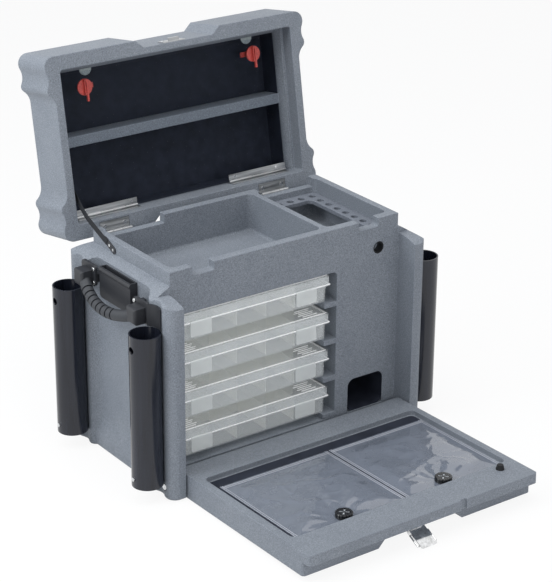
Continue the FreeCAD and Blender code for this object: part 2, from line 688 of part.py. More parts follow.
def bracket_foot_y():
    return SEAT + BRACKET_FAR - BRACKET_W + 12


def handle_brackets(side):
    """Moulded end sockets beside the rod tubes: plate on the bump, foot on the flat side and hood
    round the grip. The front one has a tongue in the tube's flute, outside the tube's bore."""
    tube_side = BUMP_X + SEAT
    socket = grip_tube(1, HANDLE_R + SEAT)
    tip = BUMP_X + HANDLE_END_OUT + HANDLE_R + HOOD_WALL
    half = HANDLE_R + SEAT + HOOD_WALL
    pieces = []
    for end, z0, z1 in bracket_spans():
        y0, y1 = sorted((end * (BRACKET_FAR - BRACKET_W), end * BRACKET_FAR))
        plate = rounded_box(tube_side, BRACKET_OUT, y0, y1, z0, z1, BRACKET_ROUND, X)
        f0, f1 = sorted((end * (BRACKET_FAR - BRACKET_W + 1), end * bracket_foot_y()))
        foot_top = min(z1, WING_TIP) - BRACKET_FOOT_IN
        foot = box(SIDE_X + SEAT, tube_side + 1, f0, f1, z0 + BRACKET_FOOT_IN, foot_top)
        mid_y = end * grip_end_y()
        mid_z = TUBE_TOP + (HANDLE_REAR_UP if end > 0 else HANDLE_FRONT_UP)
        hood = box(BRACKET_OUT - 1, tip, mid_y - half, mid_y + half, mid_z - half, mid_z + half)
        outer = [e for e in edges_along(hood, Y) + edges_along(hood, Z)
                 if abs(middle(e).x - tip) < 0.1]
        parts = [plate, foot, hood.makeFillet(6, outer)]
        if end < 0:
            axis = V(TUBE_X, -TUBE_Y, 0)
            lining = ring(TUBE_R, TUBE_R - TONGUE_T, axis.add(V(0, 0, z0)), axis.add(V(0, 0, z1)))
            reach = box(TUBE_X - TUBE_R - 1, TUBE_X - TUBE_R / 3, -BRACKET_FAR - TONGUE_L,
                        -BRACKET_FAR + 1, z0, z1)
            parts.append(lining.common(reach))
        pieces.append(join(parts).cut(socket))
    brackets = group(pieces)
    return brackets if side > 0 else mirror_x(brackets)


def handle_screws(side):
    """Two screws beside each hood, above and below the grip."""
    y = BRACKET_FAR - BRACKET_W + 5
    screws = []
    for end, z0, z1 in bracket_spans():
        for z in (z0 + 8, z1 - 8):
            start = V(side * (BRACKET_OUT + SEAT), end * y, z)
            head = rod(SCREW_R, start, start.add(V(side * SCREW_HEAD, 0, 0)))
            screws.append(head.makeFillet(1, [e for e in head.Edges
                                              if abs(e.BoundBox.XMin) > abs(start.x) + 1]))
    return group(screws)


def side_holder(side):
    """Flat pocket with a rolled upper lip."""
    x0, x1 = SIDE_X + SEAT, SIDE_X + HOLDER_OUT
    shell = box(x0, x1, HOLDER_Y0, HOLDER_Y1, HOLDER_Z0, HOLDER_Z1)
    shell = shell.makeFillet(8, edges_along(shell, X, lambda e: middle(e).z < HOLDER_Z0 + 1))
    lip_r = 6.0
    centre = V(x1 - lip_r + 2, 0, HOLDER_Z1 - lip_r)
    lip = rod(lip_r, V(centre.x, HOLDER_Y0, centre.z), V(centre.x, HOLDER_Y1, centre.z))
    hollow = box(x0 + HOLDER_WALL, x1 - HOLDER_WALL, HOLDER_Y0 + HOLDER_WALL,
                 HOLDER_Y1 - HOLDER_WALL, HOLDER_Z0 + HOLDER_WALL, HOLDER_Z1 + 9)
    holder = shell.fuse(lip).removeSplitter().cut(hollow)
    return holder if side > 0 else mirror_x(holder)


# ---- lid, drawn shut and then swung open ----------------------------------------------------
def open_lid(shape):
    return turned(shape, V(0, HINGE_Y, HINGE_Z), X, -LID_OPEN)


def lid_shell():
    top = LID_Z + LID_H
    cap = outline_prism(LID_Z, top)
    cap = cap.makeFillet(LID_ROUND, level_edges(cap, top))
    mouth_top = LID_Z + LID_MOUTH_DEPTH
    mouth = rounded_box(-LID_MOUTH_X, LID_MOUTH_X, LID_MOUTH_FRONT, LID_MOUTH_BACK, LID_Z - 1,
                        mouth_top, 6)
    throat_x = LID_THROAT_X
    back = LID_MOUTH_BACK
    lip = mouth_top - 0.5
    wide, front = throat_x + LID_LIP, LID_THROAT_FRONT - LID_SLOPE
    lower = Part.makePolygon([V(-wide, front, lip), V(wide, front, lip), V(wide, back, lip),
                              V(-wide, back, lip), V(-wide, front, lip)])
    face_z = LID_Z + LID_THROAT_FROM
    upper_wire = Part.makePolygon([V(-throat_x, LID_THROAT_FRONT, face_z),
                                   V(throat_x, LID_THROAT_FRONT, face_z),
                                   V(throat_x, back, face_z), V(-throat_x, back, face_z),
                                   V(-throat_x, LID_THROAT_FRONT, face_z)])
    throat = Part.makeLoft([lower, upper_wire], True, True)
    cavity = box(-throat_x, throat_x, LID_THROAT_FRONT, back, face_z - 0.01, LID_Z + LID_CAVITY)
    cap = cap.cut([mouth, throat, cavity])
    shelf = box(-throat_x - 1, throat_x + 1, SHELF_Y - SHELF_T, SHELF_Y,
                LID_Z + SHELF_FRONT_H, LID_Z + LID_CAVITY + 1)
    cap = cap.fuse(shelf)
    pocket = box(HINGE_X0 - 1, HINGE_X1 + 1, HINGE_Y - 22, HALF_D + 1, LID_Z - 1,
                 LID_Z + LEAF_T + SEAT)
    return open_lid(cap.cut([pocket, mirror_x(pocket)]).removeSplitter())


def knuckle_spans():
    """Three knuckles along a lid hinge: the outer two on the body, the middle one on the lid."""
    third = (HINGE_X1 - HINGE_X0) / 3
    return [(HINGE_X0 + i * third + SEAT, HINGE_X0 + (i + 1) * third - SEAT) for i in range(3)]


def lid_hinges_body_side():
    axis = V(0, HINGE_Y, HINGE_Z)
    leaf_low = HINGE_Z - HINGE_R - LEAF_T - 1 + SEAT
    leaf = box(HINGE_X0, HINGE_X1, HINGE_Y - LEAF_BODY_L, HINGE_Y - HINGE_R - 1,
               leaf_low, leaf_low + LEAF_T)
    parts = [leaf]
    bores = []
    for index in (0, 2):
        x0, x1 = knuckle_spans()[index]
        parts.append(rod(HINGE_R, axis.add(V(x0, 0, 0)), axis.add(V(x1, 0, 0))))
        parts.append(box(x0, x1, HINGE_Y - HINGE_R - 1.5, HINGE_Y, leaf_low, HINGE_Z))
        bores.append(rod(HINGE_PIN_R + 0.05, axis.add(V(x0 - 1, 0, 0)), axis.add(V(x1 + 1, 0, 0))))
    return both_sides(join(parts).cut(bores))


def lid_hinge_pins():
    axis = V(0, HINGE_Y, HINGE_Z)
    pin = rod(HINGE_PIN_R, axis.add(V(HINGE_X0 - 1.5, 0, 0)), axis.add(V(HINGE_X1 + 1.5, 0, 0)))
    return both_sides(pin)


def lid_hinges_lid_side():
    axis = V(0, HINGE_Y, HINGE_Z)
    leaf = box(HINGE_X0, HINGE_X1, HINGE_Y - LEAF_LID_L, HALF_D - 0.5,
               LID_Z + SEAT, LID_Z + LEAF_T)
    x0, x1 = knuckle_spans()[1]
    knuckle = rod(HINGE_R, axis.add(V(x0, 0, 0)), axis.add(V(x1, 0, 0)))
    web = box(x0, x1, HINGE_Y - 1.5, HINGE_Y + 1.5, HINGE_Z, LID_Z + LEAF_T)
    bore = rod(HINGE_PIN_R + 0.05, axis.add(V(x0 - 1, 0, 0)), axis.add(V(x1 + 1, 0, 0)))
    hinge = join([leaf, knuckle, web]).cut(bore)
    return both_sides(open_lid(hinge))


def lid_screws():
    """Screws in the lid's hinge leaves and in the keeper."""
    screws = []
    for x in (HINGE_X0 + 10, HINGE_X1 - 10):
        start = V(x, HINGE_Y - 12, LID_Z + SEAT - 0.01)
        screws += both_sides(rod(3.5, start.sub(V(0, 0, 1.3)), start)).Solids
    for x in (-17, 17):
        start = V(LATCH_X + x, -HALF_D + RECESS_DEPTH - SEAT - 1.5, LID_Z + 18)
        screws.append(rod(2.2, start.sub(V(0, 1, 0)), start))
    return open_lid(group(screws))


def keeper():
    """Plate with a raised lip that the draw latch's bail hooks over."""
    face = -HALF_D + RECESS_DEPTH - SEAT
    x0, x1 = LATCH_X - KEEPER_W / 2, LATCH_X + KEEPER_W / 2
    lip0, lip1 = LATCH_X - KEEPER_LIP_W / 2, LATCH_X + KEEPER_LIP_W / 2
    plate = box(x0, x1, face - KEEPER_T, face, LID_Z + 2, LID_Z + 2 + KEEPER_H)
    foot = box(lip0, lip1, face - 7, face, LID_Z + 3.5, LID_Z + 3.5 + KEEPER_T)
    lip = box(lip0, lip1, face - 6.5 - KEEPER_T, face - 6.5, LID_Z + 3.5, LID_Z + 9)
    return open_lid(join([plate, foot, lip]))


def catch_tabs():
    """Half-round plates on the lid's inner front wall, behind the clear door."""
    z0 = LID_Z + WINDOW_H + WINDOW_T + TAB_GAP
    z1 = z0 + TAB_T
    rise = (LID_Z + LID_THROAT_FROM - z1) / (LID_THROAT_FROM - LID_MOUTH_DEPTH + 0.5)
    wall = LID_THROAT_FRONT - LID_SLOPE * rise + SEAT
    disc = rod(TAB_R, V(TAB_X, wall, z0), V(TAB_X, wall, z1))
    tab = disc.common(box(TAB_X - TAB_R, TAB_X + TAB_R, wall, 0, z0, z1))
    return open_lid(both_sides(tab))


def strip_axis():
    return V(0, WINDOW_HINGE_Y, WINDOW_HINGE_Z)


def strip_spans():
    """Five knuckles along each strip hinge, alternately on the lid and on the clear door."""
    step = (STRIP_X1 - STRIP_X0) / 5
    return [(STRIP_X0 + i * step + SEAT, STRIP_X0 + (i + 1) * step - SEAT) for i in range(5)]


def strip_hinge(fixed):
    axis = strip_axis()
    low = LID_Z + WINDOW_H - SEAT - STRIP_T
    if fixed:
        wall = LID_MOUTH_BACK - SEAT
        plate = box(STRIP_X0, STRIP_X1, wall - STRIP_T, wall,
                    axis.z - STRIP_WALL_L, axis.z + WINDOW_HINGE_R)
        reach = (axis.y, wall - SEAT)
        own = (0, 2, 4)
    else:
        plate = box(STRIP_X0, STRIP_X1, axis.y - STRIP_PANEL_L, axis.y - WINDOW_HINGE_R - 0.4,
                    low, low + STRIP_T)
        reach = (axis.y - WINDOW_HINGE_R - 1, axis.y)
        own = (1, 3)
    parts = [plate]
    bores = []
    for index in own:
        x0, x1 = strip_spans()[index]
        parts.append(rod(WINDOW_HINGE_R, axis.add(V(x0, 0, 0)), axis.add(V(x1, 0, 0))))
        web_z = axis.z if fixed else low
        parts.append(box(x0, x1, reach[0], reach[1], web_z, web_z + STRIP_T))
        bores.append(rod(STRIP_PIN_R + 0.05, axis.add(V(x0 - 1, 0, 0)), axis.add(V(x1 + 1, 0, 0))))
    return open_lid(both_sides(join(parts).cut(bores)))


def strip_pins():
    axis = strip_axis()
    pin = rod(STRIP_PIN_R, axis.add(V(STRIP_X0, 0, 0)), axis.add(V(STRIP_X1, 0, 0)))
    return open_lid(both_sides(pin))


def window_panel():
    z0 = LID_Z + WINDOW_H
    panel = rounded_box(-WINDOW_X, WINDOW_X, WINDOW_TOP, WINDOW_HINGE_Y - WINDOW_HINGE_R - 0.5,
                        z0, z0 + WINDOW_T, 6)
    for side in (-1, 1):
        centre = V(side * RED_X, RED_Y, z0 - 1)
        panel = panel.cut(rod(RED_SHAFT_R + 0.08, centre, centre.add(V(0, 0, WINDOW_T + 2))))
    return open_lid(panel)


def window_screws():
    z0 = LID_Z + WINDOW_H - SEAT - STRIP_T
    screws = []
    for x in (STRIP_X0 + 14, STRIP_X1 - 24):
        start = V(x, WINDOW_HINGE_Y - STRIP_SCREW_AT, z0)
        screws += both_sides(rod(STRIP_SCREW_R, start.sub(V(0, 0, STRIP_T)), start)).Solids
    return open_lid(group(screws))


def red_knob(side):
    """Quarter-turn knob: finger disc with lever tail, shaft through the window, cam bar behind."""
    z0 = LID_Z + WINDOW_H
    centre = V(side * RED_X, RED_Y, 0)
    at = lambda z: centre.add(V(0, 0, z))
    disc = rod(RED_R, at(z0 - SEAT - 3), at(z0 - SEAT))
    fin = box(centre.x - 3, centre.x + 3, RED_Y - RED_R + 1, RED_Y + RED_R - 1,
              z0 - SEAT - RED_H, z0 - SEAT - 2)
    tail = box(centre.x + 2, centre.x + 6, RED_Y + RED_R - 6, RED_Y + RED_R + 12,
               z0 - SEAT - 5, z0 - SEAT - 1)
    slot = box(centre.x - 1.2, centre.x + 1.2, RED_Y - RED_R + 4, RED_Y + RED_R - 4,
               z0 - SEAT - RED_H - 1, z0 - SEAT - RED_H + 3)
    shaft = rod(RED_SHAFT_R, at(z0 - 2), at(z0 + WINDOW_T + 7.5))
    cam_z = z0 + WINDOW_T + 4
    inward = -side
    lo, hi = sorted((centre.x, centre.x + inward * 24))
    cam = box(lo, hi, RED_Y - 5, RED_Y + 5, cam_z, cam_z + 3)
    return open_lid(join([disc, fin, tail, shaft, cam]).cut(slot))


# ---- lid strap --------------------------------------------------------------------------------
def strap_ends():
    """Middle of the webbing at the body's plate and at the anchor inside the lid."""
    low = V(-CORE_X - STRAP_OUT, STRAP_Y, STRAP_Z)
    high = V(-LID_THROAT_X + 1.5, STRAP_LID_Y, LID_Z + STRAP_LID_H)
    return low, turned(Part.Vertex(high), V(0, HINGE_Y, HINGE_Z), X, -LID_OPEN).Point


def strap_slope():
    low, high = strap_ends()
    return V(0, high.y - low.y, high.z - low.z).normalize()


def plate_line():
    """Lower rounded end and upper end of the plate, on the outer face of the left wall."""
    low = strap_ends()[0]
    start = V(-CORE_X - SEAT, low.y, low.z).sub(strap_slope().multiply(STRAP_PLATE_L * 0.7))
    return start, start.add(strap_slope().multiply(STRAP_PLATE_L))


def strap_plate():
    """Rounded plate held by two screws."""
    start, end = plate_line()
    slope = strap_slope()
    across = V(0, -slope.z, slope.y).multiply(STRAP_W / 2)
    corners = [start.add(across), start.sub(across), end.sub(across), end.add(across)]
    depth = V(-STRAP_PLATE_T, 0, 0)
    return join([polygon(corners).extrude(depth), rod(STRAP_W / 2, start, start.add(depth))])


def strap_screws():
    start, end = plate_line()
    heads = []
    for share in (0.05, 0.45):
        spot = start.add(end.sub(start).multiply(share)).sub(V(STRAP_PLATE_T, 0, 0))
        heads.append(rod(2.8, spot, spot.sub(V(0.9, 0, 0))))
    return group(heads)


def lid_strap():
    """Webbing from the plate to the anchor; past the wall it slants in to clear the lid's mouth."""
    low, high = strap_ends()
    bend = low.add(high.sub(low).multiply(STRAP_BEND))
    bend.x = low.x
    up = V(0, 0, STRAP_W / 2)
    ends = [(low, bend), (bend, high)]
    bands = []
    for start, end in ends:
        face = polygon([start.sub(up), end.sub(up), end.add(up), start.add(up)])
        bands.append(face.extrude(V(-STRAP_T, 0, 0)))
    return join(bands)


def strap_anchor():
    """Clip on the lid's inner left wall that holds the end of the webbing."""
    x0 = -LID_THROAT_X + SEAT
    y, z = STRAP_LID_Y, LID_Z + STRAP_LID_H
    return open_lid(box(x0, x0 + 2.5, y - 12, y + 12, z + 1.6, z + 9))


# ---- front door, drawn flat and then tilted ---------------------------------------------------
def tilt_door(shape):
    return turned(shape, V(0, PIVOT_Y, PIVOT_Z), X, -DOOR_TILT)


def out(distance):
    """Y of a place at a distance from the pivot on the flat open door."""
    return PIVOT_Y - distance


def front_door_shell():
    inner_z = DOOR_IN - DOOR_INNER_T
    low = PIVOT_Z - DOOR_T / 2
    end, step = out(DOOR_REACH), out(DOOR_REACH - DOOR_STEP)
    slab = box(-DOOR_X, DOOR_X, step, PIVOT_Y, low, DOOR_IN)
    tongue = box(-DOOR_X, DOOR_X, end, step + 1, inner_z, DOOR_IN)
    barrel = rod(DOOR_T / 2, V(-DOOR_X, PIVOT_Y, PIVOT_Z), V(DOOR_X, PIVOT_Y, PIVOT_Z))
    door = join([slab, barrel, tongue])
    corners = edges_along(door, Z, lambda e: middle(e).y < step + 0.1)
    door = door.makeFillet(7, corners)
    pocket = rounded_box(POCKET_X0, POCKET_X1, out(POCKET_TO), out(POCKET_FROM),
                         DOOR_IN - POCKET_DEPTH, DOOR_IN + 5, 12)
    floor_edges = [e for e in pocket.Edges if e.BoundBox.ZMax < DOOR_IN - POCKET_DEPTH + 0.1]
    pocket = pocket.makeFillet(3, floor_edges)
    half = RECESS_WIDTH / 2
    wide = half + RECESS_CHAMFER
    depth = RECESS_DEPTH + 2
    channel = polygon([V(-wide, end - 1, low - 0.01), V(-half, end - 1, low + depth),
                       V(half, end - 1, low + depth), V(wide, end - 1, low - 0.01)])
    channel = channel.extrude(V(0, DOOR_REACH - DOOR_T, 0))
    nick = box(NICK_X0, NICK_X0 + NICK_W, end - 1, end + NICK_IN, inner_z - 1, DOOR_IN + 1)
    peg = V(GROMMET_X, catch_y(), DOOR_IN)
    socket = rod(4.2, peg.sub(V(0, 0, 8)), peg.add(Z))
    cuts = [pocket, channel, nick, socket]
    for side in (-1, 1):
        cuts.append(rod(PIVOT_R + PIVOT_CLEAR, V(side * (DOOR_X - 20), PIVOT_Y, PIVOT_Z),
                        V(side * (DOOR_X + 1), PIVOT_Y, PIVOT_Z)))
        stud = V(side * KNOB_X, out(KNOB_FROM), DOOR_IN - POCKET_DEPTH)
        cuts.append(rod(STUD_R + 0.2, stud.sub(V(0, 0, STUD_SUNK + 1)), stud.add(Z)))
    return tilt_door(door.cut(cuts).removeSplitter())


def catch_y():
    return out(GROMMET_Z - PIVOT_Z)


def door_catch():
    """Tapered peg that pushes into the grommet when the door is shut."""
    foot = V(GROMMET_X, catch_y(), DOOR_IN)
    stem = rod(4.0, foot.sub(V(0, 0, 7)), foot.add(V(0, 0, 2)))
    head = Part.makeCone(8.3, 6.0, 9, foot.add(V(0, 0, SEAT)), Z)
    return tilt_door(join([stem, head]))


def bag_edges():
    return [(POCKET_X0 + BAG_GAP_LEFT, BAG_SPLIT_X),
            (BAG_SPLIT_X + BAG_SPLIT, POCKET_X1 - BAG_GAP_RIGHT)]


def bag(index):
    """Flat zip bag: rounded pillow with a thicker zip rib, held under its knob's washer."""
    x0, x1 = bag_edges()[index]
    z0 = DOOR_IN - POCKET_DEPTH + SEAT
    pillow = rounded_box(x0, x1, out(BAG_TO), out(BAG_FROM), z0, z0 + 1.6, 6)
    zip_rib = box(x0 + 4, x1 - 4, out(BAG_FROM + 14), out(BAG_FROM + 4), z0 + 1, z0 + 3)
    side = -1 if index == 0 else 1
    hole = V(side * KNOB_X, out(KNOB_FROM), z0 - 1)
    return tilt_door(pillow.fuse(zip_rib).removeSplitter().cut(rod(4.5, hole, hole.add(V(0, 0, 6)))))


def knob_studs():
    studs = []
    for side in (-1, 1):
        foot = V(side * KNOB_X, out(KNOB_FROM), DOOR_IN - POCKET_DEPTH - STUD_SUNK)
        studs.append(rod(STUD_R, foot, foot.add(V(0, 0, STUD_SUNK + STUD_UP))))
    return tilt_door(group(studs))


def bag_knob(side):
    """Ribbed clamp knob with a cross recess in its top."""
    top = DOOR_IN - 0.4
    centre = V(side * KNOB_X, out(KNOB_FROM), 0)
    at = lambda z: centre.add(V(0, 0, z))
    knob = rod(KNOB_R, at(top - KNOB_H), at(top))
    knob = knob.makeChamfer(1.2, [e for e in knob.Edges if e.BoundBox.ZMin > top - 0.1])
    cuts = [rod(STUD_R + 0.05, at(top - KNOB_H - 1), at(top - KNOB_H + 6.5))]
    for turn in (45, 135):
        bar = box(-1.5, 1.5, -KNOB_R * 0.72, KNOB_R * 0.72, top - 1.5, top + 1)
        bar.rotate(V(0, 0, 0), Z, turn)
        bar.translate(centre)
        cuts.append(bar)
    for i in range(16):
        angle = 2 * math.pi * i / 16
        rim = centre.add(V(KNOB_R * math.cos(angle), KNOB_R * math.sin(angle), 0))
        cuts.append(rod(1.1, rim.add(V(0, 0, top - KNOB_H - 1)), rim.add(V(0, 0, top + 1))))
    return tilt_door(knob.cut(cuts))


# ---- draw latch, drawn on the flat open door ----------------------------------------------------
def latch_floor():
    """Floor of the door's channel, facing down when the door is open."""
    return PIVOT_Z - DOOR_T / 2 + RECESS_DEPTH + 2


def latch_pivot():
    return V(LATCH_X, out(LATCH_FROM), latch_floor() - LATCH_DROP)


def latch_base():
    pivot = latch_pivot()
    top = latch_floor() - SEAT
    half = LATCH_W / 2 - 5
    plate = box(LATCH_X - half, LATCH_X + half, pivot.y - 5, pivot.y - 5 + LATCH_PLATE_L,
                top - 1.5, top)
    parts = [plate]
    for side in (-1, 1):
        lo, hi = sorted((LATCH_X + side * half, LATCH_X + side * (half - 2)))
        ear = box(lo, hi, pivot.y, pivot.y + 8, pivot.z, top)
        boss = rod(3, V(lo, pivot.y, pivot.z), V(hi, pivot.y, pivot.z))
        parts += [ear, boss]
    hole = rod(1.55, pivot.sub(V(LATCH_W, 0, 0)), pivot.add(V(LATCH_W, 0, 0)))
    return tilt_door(join(parts).cut(hole))


def place_lever(shape):
    """Swing a piece drawn on the shut lever out to the rest position."""
    return tilt_door(turned(shape, latch_pivot(), X, -LATCH_OPEN))


def latch_lever():
    """Pressed lever with side flanges, drawn shut: lying along the channel towards the pivot."""
    pivot = latch_pivot()
    x0, x1 = LATCH_X - LATCH_W / 2, LATCH_X + LATCH_W / 2
    z0 = pivot.z - 5
    face = box(x0, x1, pivot.y - 1, pivot.y + LATCH_L, z0, z0 + 1.5)
    face = face.makeFillet(4, edges_along(face, Z, lambda e: middle(e).y > pivot.y))
    parts = [face]
    for side in (-1, 1):
        lo, hi = sorted((LATCH_X + side * LATCH_W / 2, LATCH_X + side * (LATCH_W / 2 - 1.5)))
        flange = box(lo, hi, pivot.y - 4, pivot.y + 22, z0, pivot.z + 4)
        parts.append(flange.makeFillet(3.5, edges_along(flange, X, lambda e: middle(e).z > z0 + 1)))
    holes = [rod(1.55, pivot.sub(V(LATCH_W, 0, 0)), pivot.add(V(LATCH_W, 0, 0)))]
    bail = bail_pivot()
    holes.append(rod(BAIL_R + 0.06, bail.sub(V(LATCH_W, 0, 0)), bail.add(V(LATCH_W, 0, 0))))
    return place_lever(join(parts).cut(holes))


def latch_pin():
    pivot = latch_pivot()
    half = LATCH_W / 2 + 1
    pin = rod(1.5, pivot.sub(V(half, 0, 0)), pivot.add(V(half, 0, 0)))
    return tilt_door(pin)


def bail_pivot():
    return latch_pivot().add(V(0, BAIL_FROM, -BAIL_R))


def latch_bail():
    """Wire loop hung on the lever, drawn lying along it."""
    foot = bail_pivot()
    half = LATCH_W / 2 + 3
    parts = []
    for side in (-1, 1):
        eye = V(LATCH_X + side * half, foot.y, foot.z)
        tip = eye.add(V(0, BAIL_L, 0))
        parts.append(rod(BAIL_R, eye, tip))
        parts.append(Part.makeSphere(BAIL_R, tip))
        parts.append(Part.makeSphere(BAIL_R, eye))
        parts.append(rod(BAIL_R, eye, eye.sub(V(side * 6, 0, 0))))
    left = V(LATCH_X - half, foot.y + BAIL_L, foot.z)
    parts.append(rod(BAIL_R, left, left.add(V(2 * half, 0, 0))))
    return place_lever(join(parts))


# ---- trays --------------------------------------------------------------------------------------
def tray_front():
    return CORE_FRONT + TRAY_SETBACK


def tray_left():
    return BAY_LEFT + TRAY_GAP_LEFT


def tray_box(index):
    z0 = tray_z(index)
    x0, y0 = tray_left(), tray_front() + TRAY_LATCH_T
    rim = z0 + TRAY_H - TRAY_LIP_H - 1.6
    inset = TRAY_LIP_OUT
    xa, xb, ya, yb = x0 + inset, x0 + TRAY_W - inset, y0 + inset, y0 + TRAY_D - inset

    def section(z, grow):
        return Part.makePolygon([V(xa - grow, ya - grow, z), V(xb + grow, ya - grow, z),
                                 V(xb + grow, yb + grow, z), V(xa - grow, yb + grow, z),
                                 V(xa - grow, ya - grow, z)])

    top = z0 + TRAY_H - TRAY_WALL - SEAT
    outer = Part.makeLoft([section(z0, -TRAY_DRAFT), section(top, 0)], True, True)
    inner = Part.makeLoft([section(z0 + TRAY_WALL, -TRAY_DRAFT - TRAY_WALL),
                           section(top + 1, -TRAY_WALL)], True, True)
    flange = box(x0 + 0.3, x0 + TRAY_W - 0.3, y0 + 0.3, y0 + TRAY_D - 0.3, rim - 1.5, rim)
    return outer.fuse(flange).removeSplitter().cut(inner)


def tray_lid(index):
    z0 = tray_z(index) + TRAY_H
    x0, y0 = tray_left(), tray_front() + TRAY_LATCH_T
    cap = rounded_box(x0, x0 + TRAY_W, y0, y0 + TRAY_D, z0 - TRAY_LIP_H - 1.3, z0, 5)
    wall = TRAY_LIP_OUT - SEAT
    inner = box(x0 + wall, x0 + TRAY_W - wall, y0 + wall, y0 + TRAY_D - wall,
                z0 - TRAY_LIP_H - 5, z0 - TRAY_WALL)
    rims = [box(x0 + 1.8, x0 + TRAY_W - 1.8, y0 + 1.8, y0 + TRAY_D - 1.8,
                z0 - TRAY_LIP_H - 5, z0 - 4)]
    return cap.cut([inner] + rims)


def tray_latches(index):
    z1 = tray_z(index) + TRAY_H - TRAY_LATCH_DOWN
    y0 = tray_front()
    mid = tray_left() + TRAY_W / 2
    latches = []
    for side in (-1, 1):
        x = mid + side * TRAY_LATCH_X
        plate = rounded_box(x - TRAY_LATCH_W / 2, x + TRAY_LATCH_W / 2, y0,
                            y0 + TRAY_LATCH_T - SEAT, z1 - TRAY_LATCH_H, z1, 3, Y)
        hook = box(x - TRAY_HOOK_W / 2, x + TRAY_HOOK_W / 2, y0 + 1,
                   y0 + TRAY_LATCH_T + TRAY_LIP_OUT - SEAT,
                   z1 - TRAY_LATCH_H + 2, z1 - TRAY_LATCH_H + 4)
        latches.append(join([plate, hook]))
    return group(latches)


def tray_dividers(index):
    """Long wall with cross walls in front of it, standing in the box."""
    z0 = tray_z(index) + TRAY_WALL + SEAT
    z1 = tray_z(index) + TRAY_H - TRAY_WALL - TRAY_DIVIDER_T
    inset = TRAY_LIP_OUT + TRAY_DRAFT + TRAY_WALL + SEAT
    x0, x1 = tray_left() + inset, tray_left() + TRAY_W - inset
    y0 = tray_front() + TRAY_LATCH_T + inset
    y1 = y0 + TRAY_CELL_SHARE * TRAY_D
    half = TRAY_DIVIDER_T / 2
    parts = [box(x0, x1, y1 - TRAY_DIVIDER_T, y1, z0, z1)]
    for i in range(1, TRAY_CELLS):
        x = x0 + (x1 - x0) * i / TRAY_CELLS
        parts.append(box(x - half, x + half, y0, y1, z0, z1))
    return join(parts)


# ---- write the pieces -----------------------------------------------------------------------------
def body_screws():
    sides = [handle_screws(side) for side in (-1, 1)]
    return group([tube_screws(), strap_screws()] + sides)


def all_pieces():
    pieces = {
        "base_shell": base_shell(),
        "hook_rack": hook_rack(),
        "grommet": grommet(),
        "door_pivot_bolts": door_pivots(),
        "body_screws": body_screws(),
        "lid_hinge_body_leaves": lid_hinges_body_side(),
        "lid_hinge_pins": lid_hinge_pins(),
        "strap_plate": strap_plate(),
        "lid_shell": lid_shell(),
        "lid_hinge_lid_leaves": lid_hinges_lid_side(),
        "lid_screws": lid_screws(),
        "keeper": keeper(),
        "window_catch_tabs": catch_tabs(),
        "window_hinge_fixed_strips": strip_hinge(True),
        "window_hinge_moving_strips": strip_hinge(False),
        "window_hinge_pins": strip_pins(),
        "window_panel": window_panel(),
        "window_screws": window_screws(),
        "red_knob_left": red_knob(-1),
        "red_knob_right": red_knob(1),
        "strap_anchor": strap_anchor(),
        "lid_strap": lid_strap(),
        "front_door_shell": front_door_shell(),
        "door_catch_peg": door_catch(),
        "bag_left": bag(0),
        "bag_right": bag(1),
        "bag_knob_studs": knob_studs(),
        "bag_knob_left": bag_knob(-1),
        "bag_knob_right": bag_knob(1),
        "latch_base": latch_base(),
        "latch_pin": latch_pin(),
        "latch_lever": latch_lever(),
        "latch_bail": latch_bail(),
    }
    for side, name in ((-1, "left"), (1, "right")):
        pieces["handle_grip_" + name] = handle_grip(side)
        pieces["handle_sockets_" + name] = handle_brackets(side)
        pieces["side_holder_" + name] = side_holder(side)
        for end, place in ((-1, "front"), (1, "rear")):
            pieces["rod_tube_%s_%s" % (place, name)] = rod_tube(side, end)
    for index in range(TRAYS):
        number = str(index + 1)
        pieces["tray_box_" + number] = tray_box(index)
        pieces["tray_lid_" + number] = tray_lid(index)
        pieces["tray_latches_" + number] = tray_latches(index)
        pieces["tray_dividers_" + number] = tray_dividers(index)
    return pieces


os.makedirs("parts", exist_ok=True)
for node, piece in all_pieces().items():
    piece.exportStep("parts/%s.step" % node)
    print("%-28s %2d solids, %.0f mm3" % (node, len(piece.Solids), piece.Volume))
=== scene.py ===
# %% [markdown]
# # A fishing tackle cabinet
# The cabinet is a moulded chest with a lift-back lid, a drop-down front door, four clear trays and
# four black rod tubes. Its hard shapes arrive finished, as the fixed frame. This lesson dresses
# them: it lights the chest, gives every surface its finish, and models the pieces that a plain
# solid can't show: the linings, the wrinkled bags, the painted highlights in their knobs, the trim
# of the trays and the lid's strap.

import math

import bpy
from mathutils import Matrix, Vector, noise


